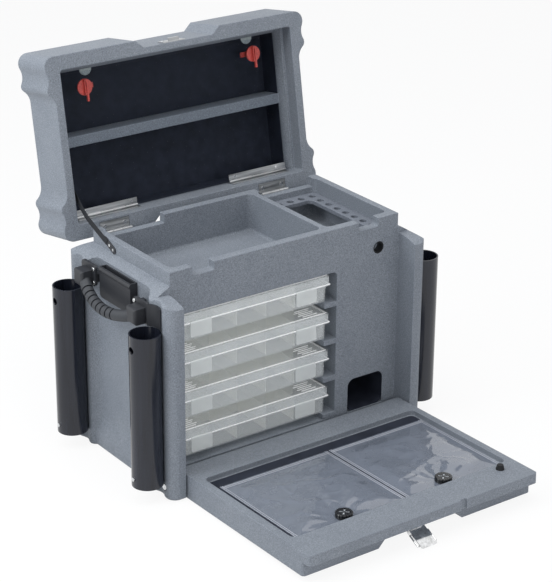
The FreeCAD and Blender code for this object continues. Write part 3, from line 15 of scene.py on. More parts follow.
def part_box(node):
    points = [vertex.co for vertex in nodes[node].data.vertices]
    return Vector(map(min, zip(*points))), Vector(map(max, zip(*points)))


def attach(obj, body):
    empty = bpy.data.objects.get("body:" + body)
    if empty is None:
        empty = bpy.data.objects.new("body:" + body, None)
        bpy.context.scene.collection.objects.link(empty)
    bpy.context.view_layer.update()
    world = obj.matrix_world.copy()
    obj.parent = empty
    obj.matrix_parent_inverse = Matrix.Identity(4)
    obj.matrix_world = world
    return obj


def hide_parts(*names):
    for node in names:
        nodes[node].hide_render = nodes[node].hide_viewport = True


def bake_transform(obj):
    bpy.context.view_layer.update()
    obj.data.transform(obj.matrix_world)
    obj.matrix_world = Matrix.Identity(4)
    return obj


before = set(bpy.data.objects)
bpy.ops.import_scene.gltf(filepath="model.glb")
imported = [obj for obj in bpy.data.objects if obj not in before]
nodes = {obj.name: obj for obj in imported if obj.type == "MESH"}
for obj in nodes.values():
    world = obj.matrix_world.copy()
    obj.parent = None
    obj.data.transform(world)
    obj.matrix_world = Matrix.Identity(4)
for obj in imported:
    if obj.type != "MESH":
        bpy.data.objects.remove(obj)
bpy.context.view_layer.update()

# %% [markdown]
# ## Camera
# The chest is seen from its front left corner, a little from above, with a long lens, which keeps
# upright edges nearly parallel. The view is set by a place, a viewing direction and the focal
# length that goes with an image 552 by 582 pixels.

# %% Camera
IMAGE_SIZE = (552, 582)
CAMERA_PLACE = Vector((-2.0781, -2.9481, 1.8392))
VIEW_FORWARD = Vector((0.54052, 0.74344, -0.39387))
VIEW_DOWN = Vector((-0.22554, -0.32297, -0.91914))
FOCAL_PIXELS = 2021.29
SENSOR = 36.0
SIGHT = 50                  # how far the camera sees, in metres

camera_data = bpy.data.cameras.new("camera")
camera_data.sensor_width = SENSOR
camera_data.lens = FOCAL_PIXELS * SENSOR / max(IMAGE_SIZE)
camera_data.clip_end = SIGHT
camera = bpy.data.objects.new("camera", camera_data)
bpy.context.scene.collection.objects.link(camera)
back = -VIEW_FORWARD.normalized()
up = (-VIEW_DOWN).normalized()
side = up.cross(back).normalized()
turn = Matrix((side, back.cross(side).normalized(), back)).transposed()
camera.matrix_world = Matrix.Translation(CAMERA_PLACE) @ turn.to_4x4()
bpy.context.scene.camera = camera
print("lens, mm:", round(camera_data.lens, 2))

# %% [markdown]
# ## Helpers
# Blender's operators act on whatever is selected, so each step first makes one object the only
# selected one. The shader helpers each add one kind of node to a material and return its output.

# %% Selecting and adding, used by every piece
def only(obj):
    """Make obj the one selected and active object."""
    bpy.ops.object.select_all(action="DESELECT")
    obj.select_set(True)
    bpy.context.view_layer.objects.active = obj
    return obj


def named(name):
    """Name the object that was just added, and its mesh."""
    obj = bpy.context.active_object
    obj.name = name
    obj.data.name = name
    return obj


def settle(obj):
    """Put an object's place into its mesh, so that the object sits at the origin."""
    only(obj)
    bpy.ops.object.transform_apply(location=True, rotation=True, scale=True)
    return obj


print("helpers for selecting and adding: 3")


# %% Shader helpers
WHITE = (1.0, 1.0, 1.0, 1.0)
NOISE_LOW, NOISE_HIGH = 0.3, 0.7    # where nearly all values of a noise lie


def material(name):
    """A new node material with its tree, its shader and its Object coordinates."""
    mat = bpy.data.materials.new(name)
    mat.use_nodes = True
    tree = mat.node_tree
    tree.nodes.clear()
    output = tree.nodes.new("ShaderNodeOutputMaterial")
    shader = tree.nodes.new("ShaderNodeBsdfPrincipled")
    tree.links.new(shader.outputs["BSDF"], output.inputs["Surface"])
    place = tree.nodes.new("ShaderNodeTexCoord")
    return mat, tree, shader, place.outputs["Object"]


def linear(hex_code):
    """Colour written as six hex digits, in the shader's own linear values."""
    parts = [int(hex_code[i:i + 2], 16) / 255 for i in (0, 2, 4)]
    return [c / 12.92 if c <= 0.04045 else ((c + 0.055) / 1.055) ** 2.4 for c in parts] + [1.0]


def grain(tree, coords, scale, detail=2.0, rough=0.5, stretch=(1, 1, 1)):
    """Noise of a given scale per metre."""
    tex = tree.nodes.new("ShaderNodeTexNoise")
    tex.inputs["Scale"].default_value = scale
    tex.inputs["Detail"].default_value = detail
    tex.inputs["Roughness"].default_value = rough
    source = coords
    if stretch != (1, 1, 1):
        mapping = tree.nodes.new("ShaderNodeMapping")
        mapping.inputs["Scale"].default_value = stretch
        tree.links.new(coords, mapping.inputs["Vector"])
        source = mapping.outputs["Vector"]
    tree.links.new(source, tex.inputs["Vector"])
    return tex.outputs["Fac"]


def ramp(tree, value, stops):
    """Colours along a value: stops are (position, colour)."""
    node = tree.nodes.new("ShaderNodeValToRGB")
    node.color_ramp.elements[0].position = stops[0][0]
    node.color_ramp.elements[0].color = stops[0][1]
    node.color_ramp.elements[1].position = stops[-1][0]
    node.color_ramp.elements[1].color = stops[-1][1]
    for position, colour in stops[1:-1]:
        node.color_ramp.elements.new(position).color = colour
    tree.links.new(value, node.inputs["Fac"])
    return node.outputs["Color"]


def span(tree, value, low, high):
    """Stretch a noise value to a range of plain numbers."""
    node = tree.nodes.new("ShaderNodeMapRange")
    node.inputs["From Min"].default_value = NOISE_LOW
    node.inputs["From Max"].default_value = NOISE_HIGH
    node.inputs["To Min"].default_value = low
    node.inputs["To Max"].default_value = high
    tree.links.new(value, node.inputs["Value"])
    return node.outputs["Result"]


def shade(tree, first, second, share):
    """Darken or brighten one colour by a share of another."""
    node = tree.nodes.new("ShaderNodeMix")
    node.data_type = "RGBA"
    node.blend_type = "MULTIPLY"
    node.inputs["Factor"].default_value = share
    tree.links.new(first, node.inputs["A"])
    tree.links.new(second, node.inputs["B"])
    return node.outputs["Result"]


def relief(tree, shader, height, depth, strength):
    """Fine surface relief, with its depth in metres."""
    node = tree.nodes.new("ShaderNodeBump")
    node.inputs["Strength"].default_value = strength
    node.inputs["Distance"].default_value = depth
    tree.links.new(height, node.inputs["Height"])
    tree.links.new(node.outputs["Normal"], shader.inputs["Normal"])
    return node


def calculate(tree, operation, *values):
    """A sum on plain numbers and on the outputs of other nodes."""
    node = tree.nodes.new("ShaderNodeMath")
    node.operation = operation
    for socket, value in zip(node.inputs, values):
        if isinstance(value, float):
            socket.default_value = value
        else:
            tree.links.new(value, socket)
    return node.outputs[0]


print("shader helpers: 8")

# %% [markdown]
# ## Floor and light
# The floor is a large plane that reads as white to the camera and keeps the chest's soft shadow.
# The world does the same for the space behind it. Three large area lamps stand in for a studio: a
# broad one overhead, one at the left that brightens the end of the chest, and a weak one in front
# that opens the shadows.

# %% Floor and world
FLOOR_SIZE = 60.0
FLOOR_TONE = (0.93, 0.93, 0.935, 1)
FLOOR_GLOW = 0.90           # share of plain white in the floor as it is seen
SKY_TONE = (0.92, 0.95, 1.0, 1)
SKY_STRENGTH = 0.50


def seen_rays(tree):
    """1 for what the camera sees, straight on, in a mirror or through something clear."""
    path = tree.nodes.new("ShaderNodeLightPath")
    total = path.outputs["Is Camera Ray"]
    for kind in ("Is Glossy Ray", "Is Transmission Ray"):
        add = tree.nodes.new("ShaderNodeMath")
        add.operation = "ADD"
        add.use_clamp = True
        tree.links.new(total, add.inputs[0])
        tree.links.new(path.outputs[kind], add.inputs[1])
        total = add.outputs[0]
    return total


bpy.ops.mesh.primitive_plane_add(size=FLOOR_SIZE, location=(0, 0, 0))
floor = named("studio_floor")
floor_mat = bpy.data.materials.new("floor_white")
floor_mat.use_nodes = True
floor_tree = floor_mat.node_tree
floor_shader = floor_tree.nodes["Principled BSDF"]
floor_shader.inputs["Base Color"].default_value = FLOOR_TONE
floor_shader.inputs["Roughness"].default_value = 0.9
floor_shader.inputs["Specular IOR Level"].default_value = 0.1
floor_glow = floor_tree.nodes.new("ShaderNodeEmission")
floor_glow.inputs["Color"].default_value = WHITE
floor_glow.inputs["Strength"].default_value = 1.0
pale = floor_tree.nodes.new("ShaderNodeMixShader")
pale.inputs["Fac"].default_value = FLOOR_GLOW
floor_tree.links.new(floor_shader.outputs["BSDF"], pale.inputs[1])
floor_tree.links.new(floor_glow.outputs["Emission"], pale.inputs[2])
split = floor_tree.nodes.new("ShaderNodeMixShader")
floor_tree.links.new(seen_rays(floor_tree), split.inputs["Fac"])
floor_tree.links.new(floor_shader.outputs["BSDF"], split.inputs[1])
floor_tree.links.new(pale.outputs["Shader"], split.inputs[2])
floor_tree.links.new(split.outputs["Shader"], floor_tree.nodes["Material Output"].inputs["Surface"])
floor.data.materials.append(floor_mat)

world = bpy.data.worlds.new("studio")
world.use_nodes = True
bpy.context.scene.world = world
world_tree = world.node_tree
world_tree.nodes.clear()
sky = world_tree.nodes.new("ShaderNodeBackground")
sky.inputs["Color"].default_value = SKY_TONE
sky.inputs["Strength"].default_value = SKY_STRENGTH
seen = world_tree.nodes.new("ShaderNodeBackground")
seen.inputs["Color"].default_value = WHITE
seen.inputs["Strength"].default_value = 1.0
choose = world_tree.nodes.new("ShaderNodeMixShader")
world_out = world_tree.nodes.new("ShaderNodeOutputWorld")
world_tree.links.new(seen_rays(world_tree), choose.inputs["Fac"])
world_tree.links.new(sky.outputs["Background"], choose.inputs[1])
world_tree.links.new(seen.outputs["Background"], choose.inputs[2])
world_tree.links.new(choose.outputs["Shader"], world_out.inputs["Surface"])
bpy.context.scene.view_settings.view_transform = "Standard"
print("floor, m:", FLOOR_SIZE)


# %% Lamps
def softbox(name, place, aim, size, watts, colour=(1, 1, 1)):
    """A rectangular area lamp at a place, turned to what it lights."""
    data = bpy.data.lights.new(name, "AREA")
    data.shape = "RECTANGLE"
    data.size, data.size_y = size
    data.energy = watts
    data.color = colour
    lamp = bpy.data.objects.new(name, data)
    bpy.context.scene.collection.objects.link(lamp)
    lamp.location = place
    lamp.rotation_euler = (Vector(aim) - Vector(place)).to_track_quat("-Z", "Y").to_euler()
    return lamp


CHEST_MIDDLE = (0, 0, 0.35)
softbox("overhead", (-0.3, -0.3, 3.0), CHEST_MIDDLE, (2.4, 2.0), 46)
softbox("left_window", (-1.9, 0.35, 1.7), (-0.2, 0.1, 0.55), (1.1, 1.2), 28, (0.93, 0.97, 1.0))
softbox("front_fill", (-0.6, -3.4, 1.5), CHEST_MIDDLE, (2.0, 1.6), 18)
print("lamps and floor are in place")

# %% [markdown]
# ## Moulded plastic
# The shells are rotation moulded from grey polyethylene. Its powder leaves a fleck of lighter and
# darker grains about two millimetres across, over slow clouds of colour, and a dull, slightly
# pebbled skin. Two noises do this: one gives the flecks and the relief, and one the clouds. A
# bevel normal softens what is left of the sharp edges. Where it turns away from the true face, the
# colour is paler: a painted highlight along the edges.

# %% Grey moulded plastic
FLECKS_PER_METRE = 520
CLOUDS_PER_METRE = 14
CLOUD_DARK = (0.80, 0.81, 0.83, 1)
CLOUD_SHARE = 0.5
PEBBLE_DEPTH, PEBBLE_STRENGTH = 0.0005, 0.55
EDGE_RADIUS = 0.0026
EDGE_HIGHLIGHT = (1.4, 1.4, 1.42, 1)
EDGE_START, EDGE_END = 0.80, 0.97   # cosines of the turn at which an edge is palest and plain


def moulded(name, dark, mid, light):
    """Flecks and clouds of grey, a pebbled skin and soft edges with a painted highlight."""
    mat, tree, shader, coords = material(name)
    fleck = grain(tree, coords, FLECKS_PER_METRE, detail=4, rough=0.75)
    cloud = grain(tree, coords, CLOUDS_PER_METRE, detail=3)
    colour = ramp(tree, fleck, [(0.33, dark), (0.5, mid), (0.68, light)])
    clouds = ramp(tree, cloud, [(NOISE_LOW, CLOUD_DARK), (NOISE_HIGH, WHITE)])
    tone = shade(tree, colour, clouds, CLOUD_SHARE)
    tree.links.new(span(tree, fleck, 0.50, 0.66), shader.inputs["Roughness"])
    shader.inputs["Specular IOR Level"].default_value = 0.3
    bump = relief(tree, shader, fleck, PEBBLE_DEPTH, PEBBLE_STRENGTH)
    soft = tree.nodes.new("ShaderNodeBevel")
    soft.samples = 4
    soft.inputs["Radius"].default_value = EDGE_RADIUS
    tree.links.new(soft.outputs["Normal"], bump.inputs["Normal"])
    flat = tree.nodes.new("ShaderNodeNewGeometry")
    turn = tree.nodes.new("ShaderNodeVectorMath")
    turn.operation = "DOT_PRODUCT"
    tree.links.new(soft.outputs["Normal"], turn.inputs[0])
    tree.links.new(flat.outputs["True Normal"], turn.inputs[1])
    # paler where the bevel normal turns from the true face: a painted highlight on the edges
    painted_edge_highlight = ramp(tree, turn.outputs["Value"], [(EDGE_START, EDGE_HIGHLIGHT), (EDGE_END, WHITE)])
    tree.links.new(shade(tree, tone, painted_edge_highlight, 1.0), shader.inputs["Base Color"])
    return mat


shell_grey = moulded("shell_grey", linear("656A72"), linear("7F858D"), linear("9DA2A9"))
rack_grey = moulded("rack_grey", linear("5E636B"), linear("757A83"), linear("8E939C"))
print("moulded greys: 2")

# %% [markdown]
# ## Black plastics and rubber
# The rod tubes are extruded and polished, so they mirror the room in long upright stripes. Faint
# upright stripes in their colour add to these as a painted reflection. The handle parts are moulded
# with a fine spark finish. The strap is webbing and the grommet and the peg are soft rubber. Every
# even colour is made in the same way, so the red, the greys and the dark lining stand here too.

# %% Even colours
PALER, PALER_LIFT, DARKER = 1.35, 0.004, 0.8


def solid(name, base, low, high, scale, depth, strength, spec=0.5, stretch=(1, 1, 1)):
    """An even colour with a little unevenness in its tone, its gloss and its skin."""
    mat, tree, shader, coords = material(name)
    skin = grain(tree, coords, scale, detail=3, stretch=stretch)
    paler = [min(1, PALER * c + PALER_LIFT) for c in base[:3]] + [1]
    darker = [DARKER * c for c in base[:3]] + [1]
    colour = ramp(tree, skin, [(NOISE_LOW, darker), (NOISE_HIGH, paler)])
    tree.links.new(colour, shader.inputs["Base Color"])
    tree.links.new(span(tree, skin, low, high), shader.inputs["Roughness"])
    shader.inputs["Specular IOR Level"].default_value = spec
    relief(tree, shader, skin, depth, strength)
    return mat


# Each has a colour, the least and the most roughness, the scale, depth and strength of its skin
# and, where they aren't plain, how much it reflects and how its skin is stretched.
# the tube's colour noise is stretched into upright stripes: a painted reflection
tube_black = solid("tube_black", linear("191C26"), 0.13, 0.24, 90, 0.0001, 0.12, 0.5, (1, 1, 0.06))
moulded_black = solid("moulded_black", linear("24262B"), 0.42, 0.58, 900, 0.0002, 0.4)
grip_black = solid("grip_black", linear("2B2E33"), 0.48, 0.62, 1200, 0.0002, 0.4)
rubber_black = solid("rubber_black", linear("1B1C1F"), 0.65, 0.8, 700, 0.0002, 0.4, 0.3)
knob_black = solid("knob_black", linear("16171A"), 0.22, 0.34, 400, 0.0001, 0.2)
webbing_black = solid("webbing_black", linear("1D1F23"), 0.55, 0.75, 500, 0.0003, 0.5, 0.3)
red_plastic = solid("red_plastic", linear("B8453E"), 0.28, 0.42, 350, 0.0001, 0.2)
tab_grey = solid("tab_grey", linear("8E9798"), 0.35, 0.5, 400, 0.0001, 0.2)
# pale grey for the crosses in the clamp knobs: a painted highlight
cross_highlight_grey = solid("cross_highlight_grey", linear("B9BDC2"), 0.3, 0.45, 500, 0.0001, 0.2)
lining_dark = solid("lining_dark", linear("242833"), 0.55, 0.75, 45, 0.0001, 0.08, 0.2)
print("even colours: 10")

# %% [markdown]
# ## Metal
# Hinge leaves and screws are stainless steel and zinc plate, with a brushed grain along the leaf.
# The latch is chromed: nearly a mirror, with a few soft marks. Its keeper is of the hinges' steel.

# %% Metal finishes
METAL_DEPTH, METAL_STRENGTH = 0.00005, 0.25


def metal(name, base, low, high, scale, stretch):
    """An even colour that reflects as metal."""
    mat = solid(name, base, low, high, scale, METAL_DEPTH, METAL_STRENGTH, stretch=stretch)
    mat.node_tree.nodes["Principled BSDF"].inputs["Metallic"].default_value = 1.0
    return mat


hinge_steel = metal("hinge_steel", linear("A9ABAD"), 0.28, 0.42, 260, (0.05, 1, 1))
screw_zinc = metal("screw_zinc", linear("C9CBCD"), 0.16, 0.3, 500, (1, 1, 1))
latch_chrome = metal("latch_chrome", linear("D9DADB"), 0.06, 0.16, 120, (1, 1, 1))
print("metals: 3")

# %% [markdown]
# ## Clear plastics
# Three see-through plastics behave differently. The window is cast acrylic, and quite clear. The
# bags are soft vinyl, a little milky, with dents that bend their shine. The trays are
# polypropylene, which scatters light and looks like frosted ice; a faint glow stands in for the
# light that runs about inside it. All three mirror the room more towards grazing angles, and only
# on outer faces: a ray that leaves through the far side of a sheet meets no mirror. A Transparent
# shader lets the lamps through as well as the eye, so what is inside stays lit.

# %% Clear finishes
MILK_PER_METRE = 22
HAZE_LEAST, HAZE_MOST = 0.92, 1.08
HAZE_ROUGH = 0.45
WRINKLE_STRENGTH = 0.6
EVEN_BLEND = 0.5            # at this blend Facing is one less the cosine of the viewing angle
STEEPNESS = 5.0


def clear(name, tint, haze_colour, haze, gloss_rough, ior, wrinkle=None, glow=0.0):
    """Transparent sheet with a share of haze and a mirror set by the viewing angle.

    The wrinkle is the scale and the depth of the dents in its shine."""
    mat, tree, shader, coords = material(name)
    output = tree.nodes["Material Output"]
    through = tree.nodes.new("ShaderNodeBsdfTransparent")
    through.inputs["Color"].default_value = tint
    cloudy = tree.nodes.new("ShaderNodeMixShader")
    milk = grain(tree, coords, MILK_PER_METRE, detail=2)
    milky = span(tree, milk, haze * HAZE_LEAST, haze * HAZE_MOST)
    tree.links.new(milky, cloudy.inputs["Fac"])
    tree.links.new(through.outputs["BSDF"], cloudy.inputs[1])
    tree.links.new(shader.outputs["BSDF"], cloudy.inputs[2])
    shader.inputs["Base Color"].default_value = haze_colour
    shader.inputs["Roughness"].default_value = HAZE_ROUGH
    shader.inputs["Emission Color"].default_value = haze_colour
    shader.inputs["Emission Strength"].default_value = glow
    mirror = tree.nodes.new("ShaderNodeBsdfGlossy")
    mirror.inputs["Roughness"].default_value = gloss_rough
    facing = tree.nodes.new("ShaderNodeLayerWeight")
    facing.inputs["Blend"].default_value = EVEN_BLEND
    straight_on = ((ior - 1) / (ior + 1)) ** 2
    steep = calculate(tree, "POWER", facing.outputs["Facing"], STEEPNESS)
    share = calculate(tree, "MULTIPLY_ADD", steep, 1 - straight_on, straight_on)
    side = tree.nodes.new("ShaderNodeNewGeometry")
    outside = calculate(tree, "SUBTRACT", 1.0, side.outputs["Backfacing"])
    both = tree.nodes.new("ShaderNodeMixShader")
    tree.links.new(calculate(tree, "MULTIPLY", share, outside), both.inputs["Fac"])
    tree.links.new(cloudy.outputs["Shader"], both.inputs[1])
    tree.links.new(mirror.outputs["BSDF"], both.inputs[2])
    tree.links.new(both.outputs["Shader"], output.inputs["Surface"])
    if wrinkle:
        scale, depth = wrinkle
        skin = grain(tree, coords, scale, detail=3)
        bump = relief(tree, shader, skin, depth, WRINKLE_STRENGTH)
        tree.links.new(bump.outputs["Normal"], mirror.inputs["Normal"])
    return mat


window_clear = clear("window_clear", (0.93, 0.94, 0.95, 1), (0.8, 0.83, 0.86, 1), 0.0, 0.02, 1.0)
bag_vinyl = clear("bag_vinyl", (0.90, 0.92, 0.95, 1), (0.25, 0.28, 0.34, 1), 0.55, 0.05, 2.1,
                  (26, 0.003))
seam_vinyl = clear("seam_vinyl", (0.88, 0.90, 0.93, 1), (0.56, 0.58, 0.64, 1), 0.7, 0.12, 1.9)
tray_frost = clear("tray_frost", (0.95, 0.96, 0.96, 1), (0.93, 0.95, 0.96, 1), 0.2, 0.12, 1.5,
                   glow=0.1)
divider_frost = clear("divider_frost", (0.95, 0.95, 0.93, 1), (0.93, 0.93, 0.89, 1), 0.42, 0.2, 1.4,
                      glow=0.1)
# the tray trim is nearly opaque white with a faint glow: a painted highlight
trim_highlight_frost = clear("trim_highlight_frost", WHITE, WHITE, 0.85, 0.1, 1.7, glow=0.12)
tray_latch_frost = clear("tray_latch_frost", (0.94, 0.95, 0.95, 1), (0.92, 0.94, 0.93, 1), 0.3,
                         0.2, 1.5, glow=0.08)
print("clear plastics: 7")

# %% [markdown]
# ## Dressing the frame
# Every node of the frame takes one of these finishes. A table from the start of a node's name to
# its finish keeps this short.

# %% Finish of each node
FINISHES = {
    "base_shell": shell_grey, "lid_shell": shell_grey, "front_door_shell": shell_grey,
    "hook_rack": rack_grey, "rod_tube": tube_black, "handle_grip": grip_black,
    "handle_sockets": moulded_black, "side_holder": moulded_black, "grommet": rubber_black,
    "door_catch_peg": rubber_black, "lid_strap": webbing_black, "strap_plate": moulded_black,
    "strap_anchor": hinge_steel, "bag_knob_studs": screw_zinc, "bag_knob": knob_black,
    "red_knob": red_plastic, "window_panel": window_clear, "window_catch_tabs": tab_grey,
    "window_hinge": hinge_steel, "window_screws": screw_zinc, "lid_hinge": hinge_steel,
    "lid_screws": screw_zinc, "body_screws": screw_zinc, "door_pivot_bolts": screw_zinc,
    "keeper": hinge_steel, "latch": latch_chrome, "bag_": bag_vinyl,
    "tray_latches": tray_latch_frost, "tray_dividers": divider_frost, "tray_": tray_frost,
}


def finish_of(name):
    """The finish in the table whose start fits the most of a name."""
    starts = [start for start in FINISHES if name.startswith(start)]
    return FINISHES[max(starts, key=len)]


for name, obj in nodes.items():
    obj.data.materials.clear()
    obj.data.materials.append(finish_of(name))
print("nodes with a finish:", len(nodes))

# %% [markdown]
# ## Tools for modelling
# Every new piece starts as a primitive of the right size, gets its shape in edit mode, and is
# finished with modifiers that are applied. Lengths are in metres. What belongs to the lid or the
# front door is drawn with that part shut or flat, and then swung about its hinge.

# %% Modelling helpers
LID_HINGE = Vector((0, 0.1755, 0.405))
LID_SWING = -99.67
DOOR_PIVOT = Vector((0, -0.1523, 0.0245))
DOOR_SWING = -1.3


def block(name, x0, x1, y0, y1, z0, z1):
    """A box primitive between six planes."""
    bpy.ops.mesh.primitive_cube_add(size=1, location=((x0 + x1) / 2, (y0 + y1) / 2, (z0 + z1) / 2))
    bpy.context.active_object.scale = (x1 - x0, y1 - y0, z1 - z0)
    return settle(named(name))


def pick(obj, kind, test):
    """Enter edit mode with only those faces or edges selected that pass a test."""
    only(obj)
    bpy.ops.object.mode_set(mode="EDIT")
    bpy.ops.mesh.select_mode(type=kind)
    bpy.ops.mesh.select_all(action="DESELECT")
    bpy.ops.object.mode_set(mode="OBJECT")
    if kind == "FACE":
        for face in obj.data.polygons:
            face.select = test(face.center, face.normal)
    else:
        points = obj.data.vertices
        for edge in obj.data.edges:
            edge.select = test(*(points[i].co for i in edge.vertices))
    bpy.ops.object.mode_set(mode="EDIT")
    return obj


def finish_edit():
    """Leave edit mode."""
    bpy.ops.object.mode_set(mode="OBJECT")


def shape(obj, kind, **settings):
    """Add a modifier with these settings and apply it."""
    only(obj)
    modifier = obj.modifiers.new(kind.lower(), kind)
    for key, value in settings.items():
        setattr(modifier, key, value)
    bpy.ops.object.modifier_apply(modifier=modifier.name)
    return obj


def swung(obj, pivot, degrees):
    """Turn a piece about a line along X through a point."""
    settle(obj)
    there = Matrix.Translation(pivot)
    obj.matrix_world = there @ Matrix.Rotation(math.radians(degrees), 4, "X") @ there.inverted()
    return settle(obj)


def merged(name, pieces):
    """Join pieces into one mesh."""
    bpy.ops.object.select_all(action="DESELECT")
    for piece in pieces:
        piece.select_set(True)
    bpy.context.view_layer.objects.active = pieces[0]
    bpy.ops.object.join()
    return named(name)


def smooth(obj, degrees=35):
    """Shade a piece smooth where its faces meet at less than an angle."""
    only(obj)
    bpy.ops.object.shade_smooth_by_angle(angle=math.radians(degrees))
    return obj


def dress(obj, finish, body):
    """Give a piece its finish and the body that carries it."""
    obj.data.materials.clear()
    obj.data.materials.append(finish)
    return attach(obj, body)


print("lid hinge, mm:", [round(1000 * c, 1) for c in LID_HINGE])

# %% [markdown]
# ## Dark linings
# The two bays behind the window, the floor of the door's pocket and the small lower compartment
# are lined with a dark sheet. Each lining starts as a box: the corners that follow the moulding
# are rounded, the open sides are deleted, and it is given the thickness of the sheet.

# %% Linings
LINING_T = 0.0003
CORNER_SEGMENTS = 6
STRAIGHT = 0.95             # least cosine for a face that looks straight along an axis
BAY_X, BAY_Z = (-0.2567, 0.2567), (0.4625, 0.5072)
BAYS_Y = {"front": (-0.1362, -0.0113), "back": (0.0093, 0.1482)}
POCKET_BOX = (-0.2468, 0.2498, -0.4856, -0.2080, 0.03705, 0.0476)
POCKET_CORNER = 0.0118
HATCH_BOX = (0.1494, 0.2356, -0.1270, 0.0620, 0.0404, 0.1096)
HATCH_CORNER = 0.0148


def lining(name, box, is_open, radius=0.0, along=2):
    """Thin box without the faces that is_open picks by normal; edges along one axis rounded."""
    obj = block(name, *box)
    if radius:
        def runs_along(a, b):
            way = b - a
            return abs(way[along]) > STRAIGHT * way.length
        pick(obj, "EDGE", runs_along)
        bpy.ops.mesh.bevel(offset=radius, segments=CORNER_SEGMENTS)
        finish_edit()
    pick(obj, "FACE", lambda c, n: is_open(n))
    bpy.ops.mesh.delete(type="FACE")
    finish_edit()
    shape(obj, "SOLIDIFY", thickness=LINING_T, offset=-1)
    return smooth(obj)


for bay, (y0, y1) in BAYS_Y.items():
    shared_side = bay == "front"    # the front bay has no lining on the side by the back bay
    sheet = lining("lid_lining_" + bay, (*BAY_X, y0, y1, *BAY_Z),
                   lambda n: n.z < -STRAIGHT or (shared_side and n.y > STRAIGHT))
    dress(swung(sheet, LID_HINGE, LID_SWING), lining_dark, "lid")

pocket = lining("door_pocket_lining", POCKET_BOX, lambda n: n.z > -STRAIGHT, POCKET_CORNER)
dress(swung(pocket, DOOR_PIVOT, DOOR_SWING), lining_dark, "front_door")

hatch = lining("hatch_lining", HATCH_BOX, lambda n: n.y < -STRAIGHT, HATCH_CORNER, along=1)
dress(hatch, lining_dark, "base")
print("linings: 4")

# %% [markdown]
# ## Zip bags
# Each bag is one sheet of soft vinyl, laid in the pocket and clamped by its knob near the free
# edge. A fine grid takes the shape: the sheet is crowned by the air inside, flat under the clamp
# and along its welded edges, and creased. Slow noise gives the broad dents, and ridged noise the
# sharp creases; a fan of folds runs out from the clamp. The welded seams and the zip are thin ribs
# of their own.

# %% Bags
BAG_BASE = 0.0383
BAG_CROWN = 0.0042
BAG_NEAR, BAG_FAR = -0.4773, -0.2373
BAG_GRID = 150
BAG_T = 0.0004
CLAMP_HOLE = 0.0052         # radius of the hole for the clamp's stud
KNOB_Y = -0.4618
SHARP_CREASE, FINE_CREASE = 0.0011, 0.0006  # how high the creases and folds rise
FAN_FOLD, FAN_TRACE, FAN_FOLDS = 0.0016, 0.0003, 11
SEAM_STEPS, SEAM_W, SEAM_H = (0.0008, 0.0048), 0.0016, 0.0009
ZIP_STEPS, ZIP_W, ZIP_H, ZIP_END = (0.0050, 0.0095), 0.002, 0.0014, 0.002
RIB_UP = 0.0001             # ribs start this far above the flat of the sheet
bag_sides = {"left": (-0.232, 0.0165, -0.116), "right": (0.0195, 0.247, 0.116)}


def ease(value, low, high):
    """0 below a low value, 1 above a high one, and a smooth slope between."""
    t = min(1.0, max(0.0, (value - low) / (high - low)))
    return t * t * (3 - 2 * t)


def crease(x, y, seed, scale):
    """Sharp ridges where a slow noise crosses zero."""
    return 1 - min(1.0, 5 * abs(noise.noise(Vector((x * scale, y * scale * 1.4, seed)))))


def bag_height(x, y, x0, x1, knob_x, seed):
    """Height of the sheet at a point of the bag between x0 and x1."""
    # flat along the welded edges and the zip, and round the clamp
    u, v = (x - x0) / (x1 - x0), (y - BAG_NEAR) / (BAG_FAR - BAG_NEAR)
    edge = min(ease(u, 0.02, 0.16) * ease(1 - u, 0.02, 0.16), ease(v, 0.0, 0.14))
    edge *= ease(1 - v, 0.05, 0.2)
    reach = math.hypot(x - knob_x, y - KNOB_Y)
    free = ease(reach, 0.018, 0.07)
    # folds that fan out from the clamp
    angle = math.atan2(y - KNOB_Y, x - knob_x)
    fan = 0.5 + 0.5 * math.sin(FAN_FOLDS * angle + 3 * noise.noise(Vector((x * 20, y * 20, seed))))
    # the crown with its broad dents, then the creases and the folds on it
    dents = noise.noise(Vector((x * 13, y * 17, seed + 4)))
    rise = BAG_CROWN * (0.75 + 0.75 * dents)
    rise += SHARP_CREASE * crease(x, y, seed + 9, 9) * ease(reach, 0.03, 0.08)
    rise += FINE_CREASE * crease(x, y, seed + 17, 21)
    rise += FAN_FOLD * fan * ease(reach, 0.017, 0.03) * (1 - ease(reach, 0.04, 0.11))
    return BAG_BASE + max(0.0, edge * free * rise) + FAN_TRACE * fan * edge


def strip(name, x0, x1, y0, y1, z0, z1):
    """A thin rib with rounded long edges."""
    obj = block(name, x0, x1, y0, y1, z0, z1)
    return shape(obj, "BEVEL", width=0.45 * (z1 - z0), segments=2)


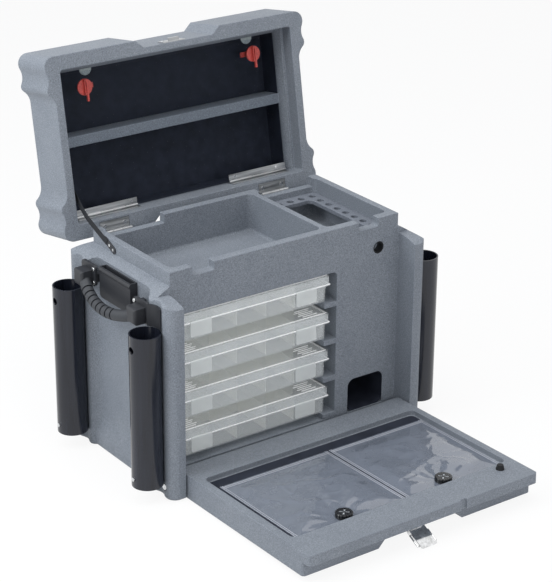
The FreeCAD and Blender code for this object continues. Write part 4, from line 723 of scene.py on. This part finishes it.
for number, (side_name, (x0, x1, knob_x)) in enumerate(bag_sides.items()):
    size = (x1 - x0, BAG_FAR - BAG_NEAR)
    bpy.ops.mesh.primitive_grid_add(x_subdivisions=BAG_GRID, y_subdivisions=BAG_GRID, size=1,
                                    location=((x0 + x1) / 2, (BAG_NEAR + BAG_FAR) / 2, BAG_BASE))
    bpy.context.active_object.scale = (size[0], size[1], 1)
    bag = settle(named("vinyl_bag_" + side_name))
    for point in bag.data.vertices:
        point.co.z = bag_height(point.co.x, point.co.y, x0, x1, knob_x, 3.0 + 11 * number)
    pick(bag, "FACE", lambda c, n: math.hypot(c.x - knob_x, c.y - KNOB_Y) < CLAMP_HOLE)
    bpy.ops.mesh.delete(type="FACE")
    finish_edit()
    shape(bag, "SOLIDIFY", thickness=BAG_T, offset=-1)
    smooth(bag, 60)
    top = BAG_BASE + RIB_UP
    ribs = []
    for step in SEAM_STEPS:
        for edge_x, way in ((x0, 1), (x1, -1)):
            a, b = sorted((edge_x + way * step, edge_x + way * (step + SEAM_W)))
            ribs.append(strip("rib", a, b, BAG_NEAR, BAG_FAR, top, top + SEAM_H))
    for step in ZIP_STEPS:
        ribs.append(strip("rib", x0 + ZIP_END, x1 - ZIP_END, BAG_FAR - step - ZIP_W,
                          BAG_FAR - step, top, top + ZIP_H))
    seams = smooth(merged("bag_seams_" + side_name, ribs))
    for piece, finish in ((bag, bag_vinyl), (seams, seam_vinyl)):
        dress(swung(piece, DOOR_PIVOT, DOOR_SWING), finish, "front_door")
    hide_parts("bag_" + side_name)
print("bags: 2")

# %% [markdown]
# ## Knob highlights
# The recess in each clamp knob catches the light as a pale cross with curved arms. The cross is a
# painted highlight: a pale sheet laid in the knob's recess.

# %% Crosses in the clamp knobs
ARC_RADIUS, ARC_LINE, ARC_T = 0.0062, 0.0009, 0.0003
ARC_HEIGHT = 0.0472
ARC_AWAY = 0.0088           # from the middle of the knob to the middle of an arc
ARC_CUT = 0.0005            # what of the ring lies past this, away from the knob, is left out

for side_name, (_, _, knob_x) in bag_sides.items():
    arms = []
    for turn in range(4):
        bpy.ops.mesh.primitive_cylinder_add(vertices=24, radius=ARC_RADIUS, depth=ARC_T,
                                            location=(knob_x, KNOB_Y, ARC_HEIGHT))
        arm = settle(named("arm"))
        pick(arm, "FACE", lambda c, n: n.z > 0.9)
        bpy.ops.mesh.inset(thickness=ARC_LINE)
        finish_edit()
        pick(arm, "FACE", lambda c, n: math.hypot(c.x - knob_x, c.y - KNOB_Y) < 0.001
             or n.z < -0.9)
        bpy.ops.mesh.delete(type="FACE")
        finish_edit()
        pick(arm, "FACE", lambda c, n: c.x > knob_x + ARC_CUT)
        bpy.ops.mesh.delete(type="FACE")
        finish_edit()
        shift = Matrix.Translation((ARC_AWAY, 0, 0))
        about = Matrix.Translation((knob_x, KNOB_Y, 0))
        spin = Matrix.Rotation(math.radians(90 * turn), 4, "Z")
        arm.matrix_world = about @ spin @ shift @ about.inverted()
        arms.append(settle(arm))
    cross = merged("knob_cross_" + side_name, arms)
    shape(cross, "SOLIDIFY", thickness=ARC_T, offset=0)
    swung(cross, DOOR_PIVOT, DOOR_SWING)
    dress(cross, cross_highlight_grey, "bag_knob_" + side_name[0])
print("knob crosses: 2")

# %% [markdown]
# ## Tray trim
# The trays' lids have a raised bead round the top and along the lower edge of the skirt, which
# catch the light as white lines, and a group of finger ridges near each front corner. The trim is
# nearly opaque white with a faint glow: a painted highlight. One tray's trim is modelled on the
# lowest tray and copied up, each copy with its own mesh.

# %% Tray beads and ridges
TOP_BEAD_IN, TOP_BEAD_W, TOP_BEAD_H = 0.004, 0.0030, 0.0012
EDGE_BEAD_OUT, EDGE_BEAD_UP, EDGE_BEAD_W, EDGE_BEAD_H = 0.0006, 0.0004, 0.0012, 0.0022
RIDGE_ROWS, RIDGE_START, RIDGE_STEP = 5, 0.013, 0.0068
RIDGE_INNER = (0.124, 0.118)    # from the middle to the inner ends of even and of odd rows
RIDGE_L, RIDGE_W, RIDGE_H = 0.034, 0.0024, 0.0011


def bead(name, x0, x1, y0, y1, z0, width, height):
    """A frame-shaped bead: a plane inset by its width, emptied, raised and rounded."""
    bpy.ops.mesh.primitive_plane_add(size=1, location=((x0 + x1) / 2, (y0 + y1) / 2, z0))
    bpy.context.active_object.scale = (x1 - x0, y1 - y0, 1)
    obj = settle(named(name))
    pick(obj, "FACE", lambda c, n: True)
    bpy.ops.mesh.inset(thickness=width)
    bpy.ops.mesh.delete(type="FACE")
    finish_edit()
    pick(obj, "FACE", lambda c, n: True)
    bpy.ops.mesh.extrude_region_move(TRANSFORM_OT_translate={"value": (0, 0, height)})
    finish_edit()
    shape(obj, "BEVEL", width=0.3 * min(width, height), segments=2)
    return obj


low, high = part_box("tray_lid_1")
mid_x = (low.x + high.x) / 2
trim = [
    bead("bead", low.x + TOP_BEAD_IN, high.x - TOP_BEAD_IN, low.y + TOP_BEAD_IN,
         high.y - TOP_BEAD_IN, high.z, TOP_BEAD_W, TOP_BEAD_H),
    bead("bead", low.x - EDGE_BEAD_OUT, high.x + EDGE_BEAD_OUT, low.y - EDGE_BEAD_OUT,
         high.y + EDGE_BEAD_OUT, low.z + EDGE_BEAD_UP, EDGE_BEAD_W, EDGE_BEAD_H),
]
for sign in (-1, 1):
    for row in range(RIDGE_ROWS):
        inner = RIDGE_INNER[row % 2]
        a, b = sorted((mid_x + sign * inner, mid_x + sign * (inner + RIDGE_L)))
        y0 = low.y + RIDGE_START + RIDGE_STEP * row
        trim.append(strip("ridge", a, b, y0, y0 + RIDGE_W, high.z, high.z + RIDGE_H))
trims = [smooth(merged("tray_trim_1", trim))]
for number in range(2, 5):
    copy = trims[0].copy()
    copy.data = trims[0].data.copy()
    bpy.context.scene.collection.objects.link(copy)
    copy.name = copy.data.name = "tray_trim_%d" % number
    copy.location.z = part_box("tray_lid_%d" % number)[1].z - high.z
    trims.append(settle(copy))
for number, piece in enumerate(trims, 1):
    dress(piece, trim_highlight_frost, "tray_%d" % number)
print("tray trims: 4")

# %% [markdown]
# ## Lid strap
# The strap is a flat black webbing that holds the open lid. It crosses the hinge, so it is one
# band that lies along the chest at its lower end and reaches the open lid at its upper end. A grid
# is bent along the strap's run, then thickened.

# %% Strap
STRAP_HALF = 0.0065
STRAP_T = 0.0009
STRAP_SAG = 0.003
STRAP_LEAVES = 0.42         # share of its run where it leaves the chest's side for the lid
STRAP_LOW = Vector((-0.26595, 0.084, 0.428))
STRAP_LID = Vector((-0.2555, 0.0785, 0.4495))   # its upper end, with the lid shut
lid_point = STRAP_LID - LID_HINGE
lid_point.rotate(Matrix.Rotation(math.radians(LID_SWING), 3, "X"))
STRAP_HIGH = LID_HINGE + lid_point
run = STRAP_HIGH - STRAP_LOW
slope = Vector((0, run.y, run.z)).normalized()
across = Vector((0, -slope.z, slope.y))

bpy.ops.mesh.primitive_grid_add(x_subdivisions=40, y_subdivisions=4, size=1, location=(0, 0, 0))
strap = settle(named("lid_strap_webbing"))
for point in strap.data.vertices:
    share, wide = point.co.x + 0.5, 2 * point.co.y
    spot = STRAP_LOW + run * share
    spot.x = STRAP_LOW.x + run.x * ease(share, STRAP_LEAVES, 1.0)
    spot.z -= STRAP_SAG * math.sin(math.pi * share)
    point.co = spot + across * STRAP_HALF * wide
shape(strap, "SOLIDIFY", thickness=STRAP_T, offset=0)
shape(strap, "BEVEL", width=STRAP_T / 3, segments=2)
smooth(strap)
strap.data.materials.append(webbing_black)
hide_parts("lid_strap")
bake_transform(strap)
print("strap, mm:", round(run.length * 1000))
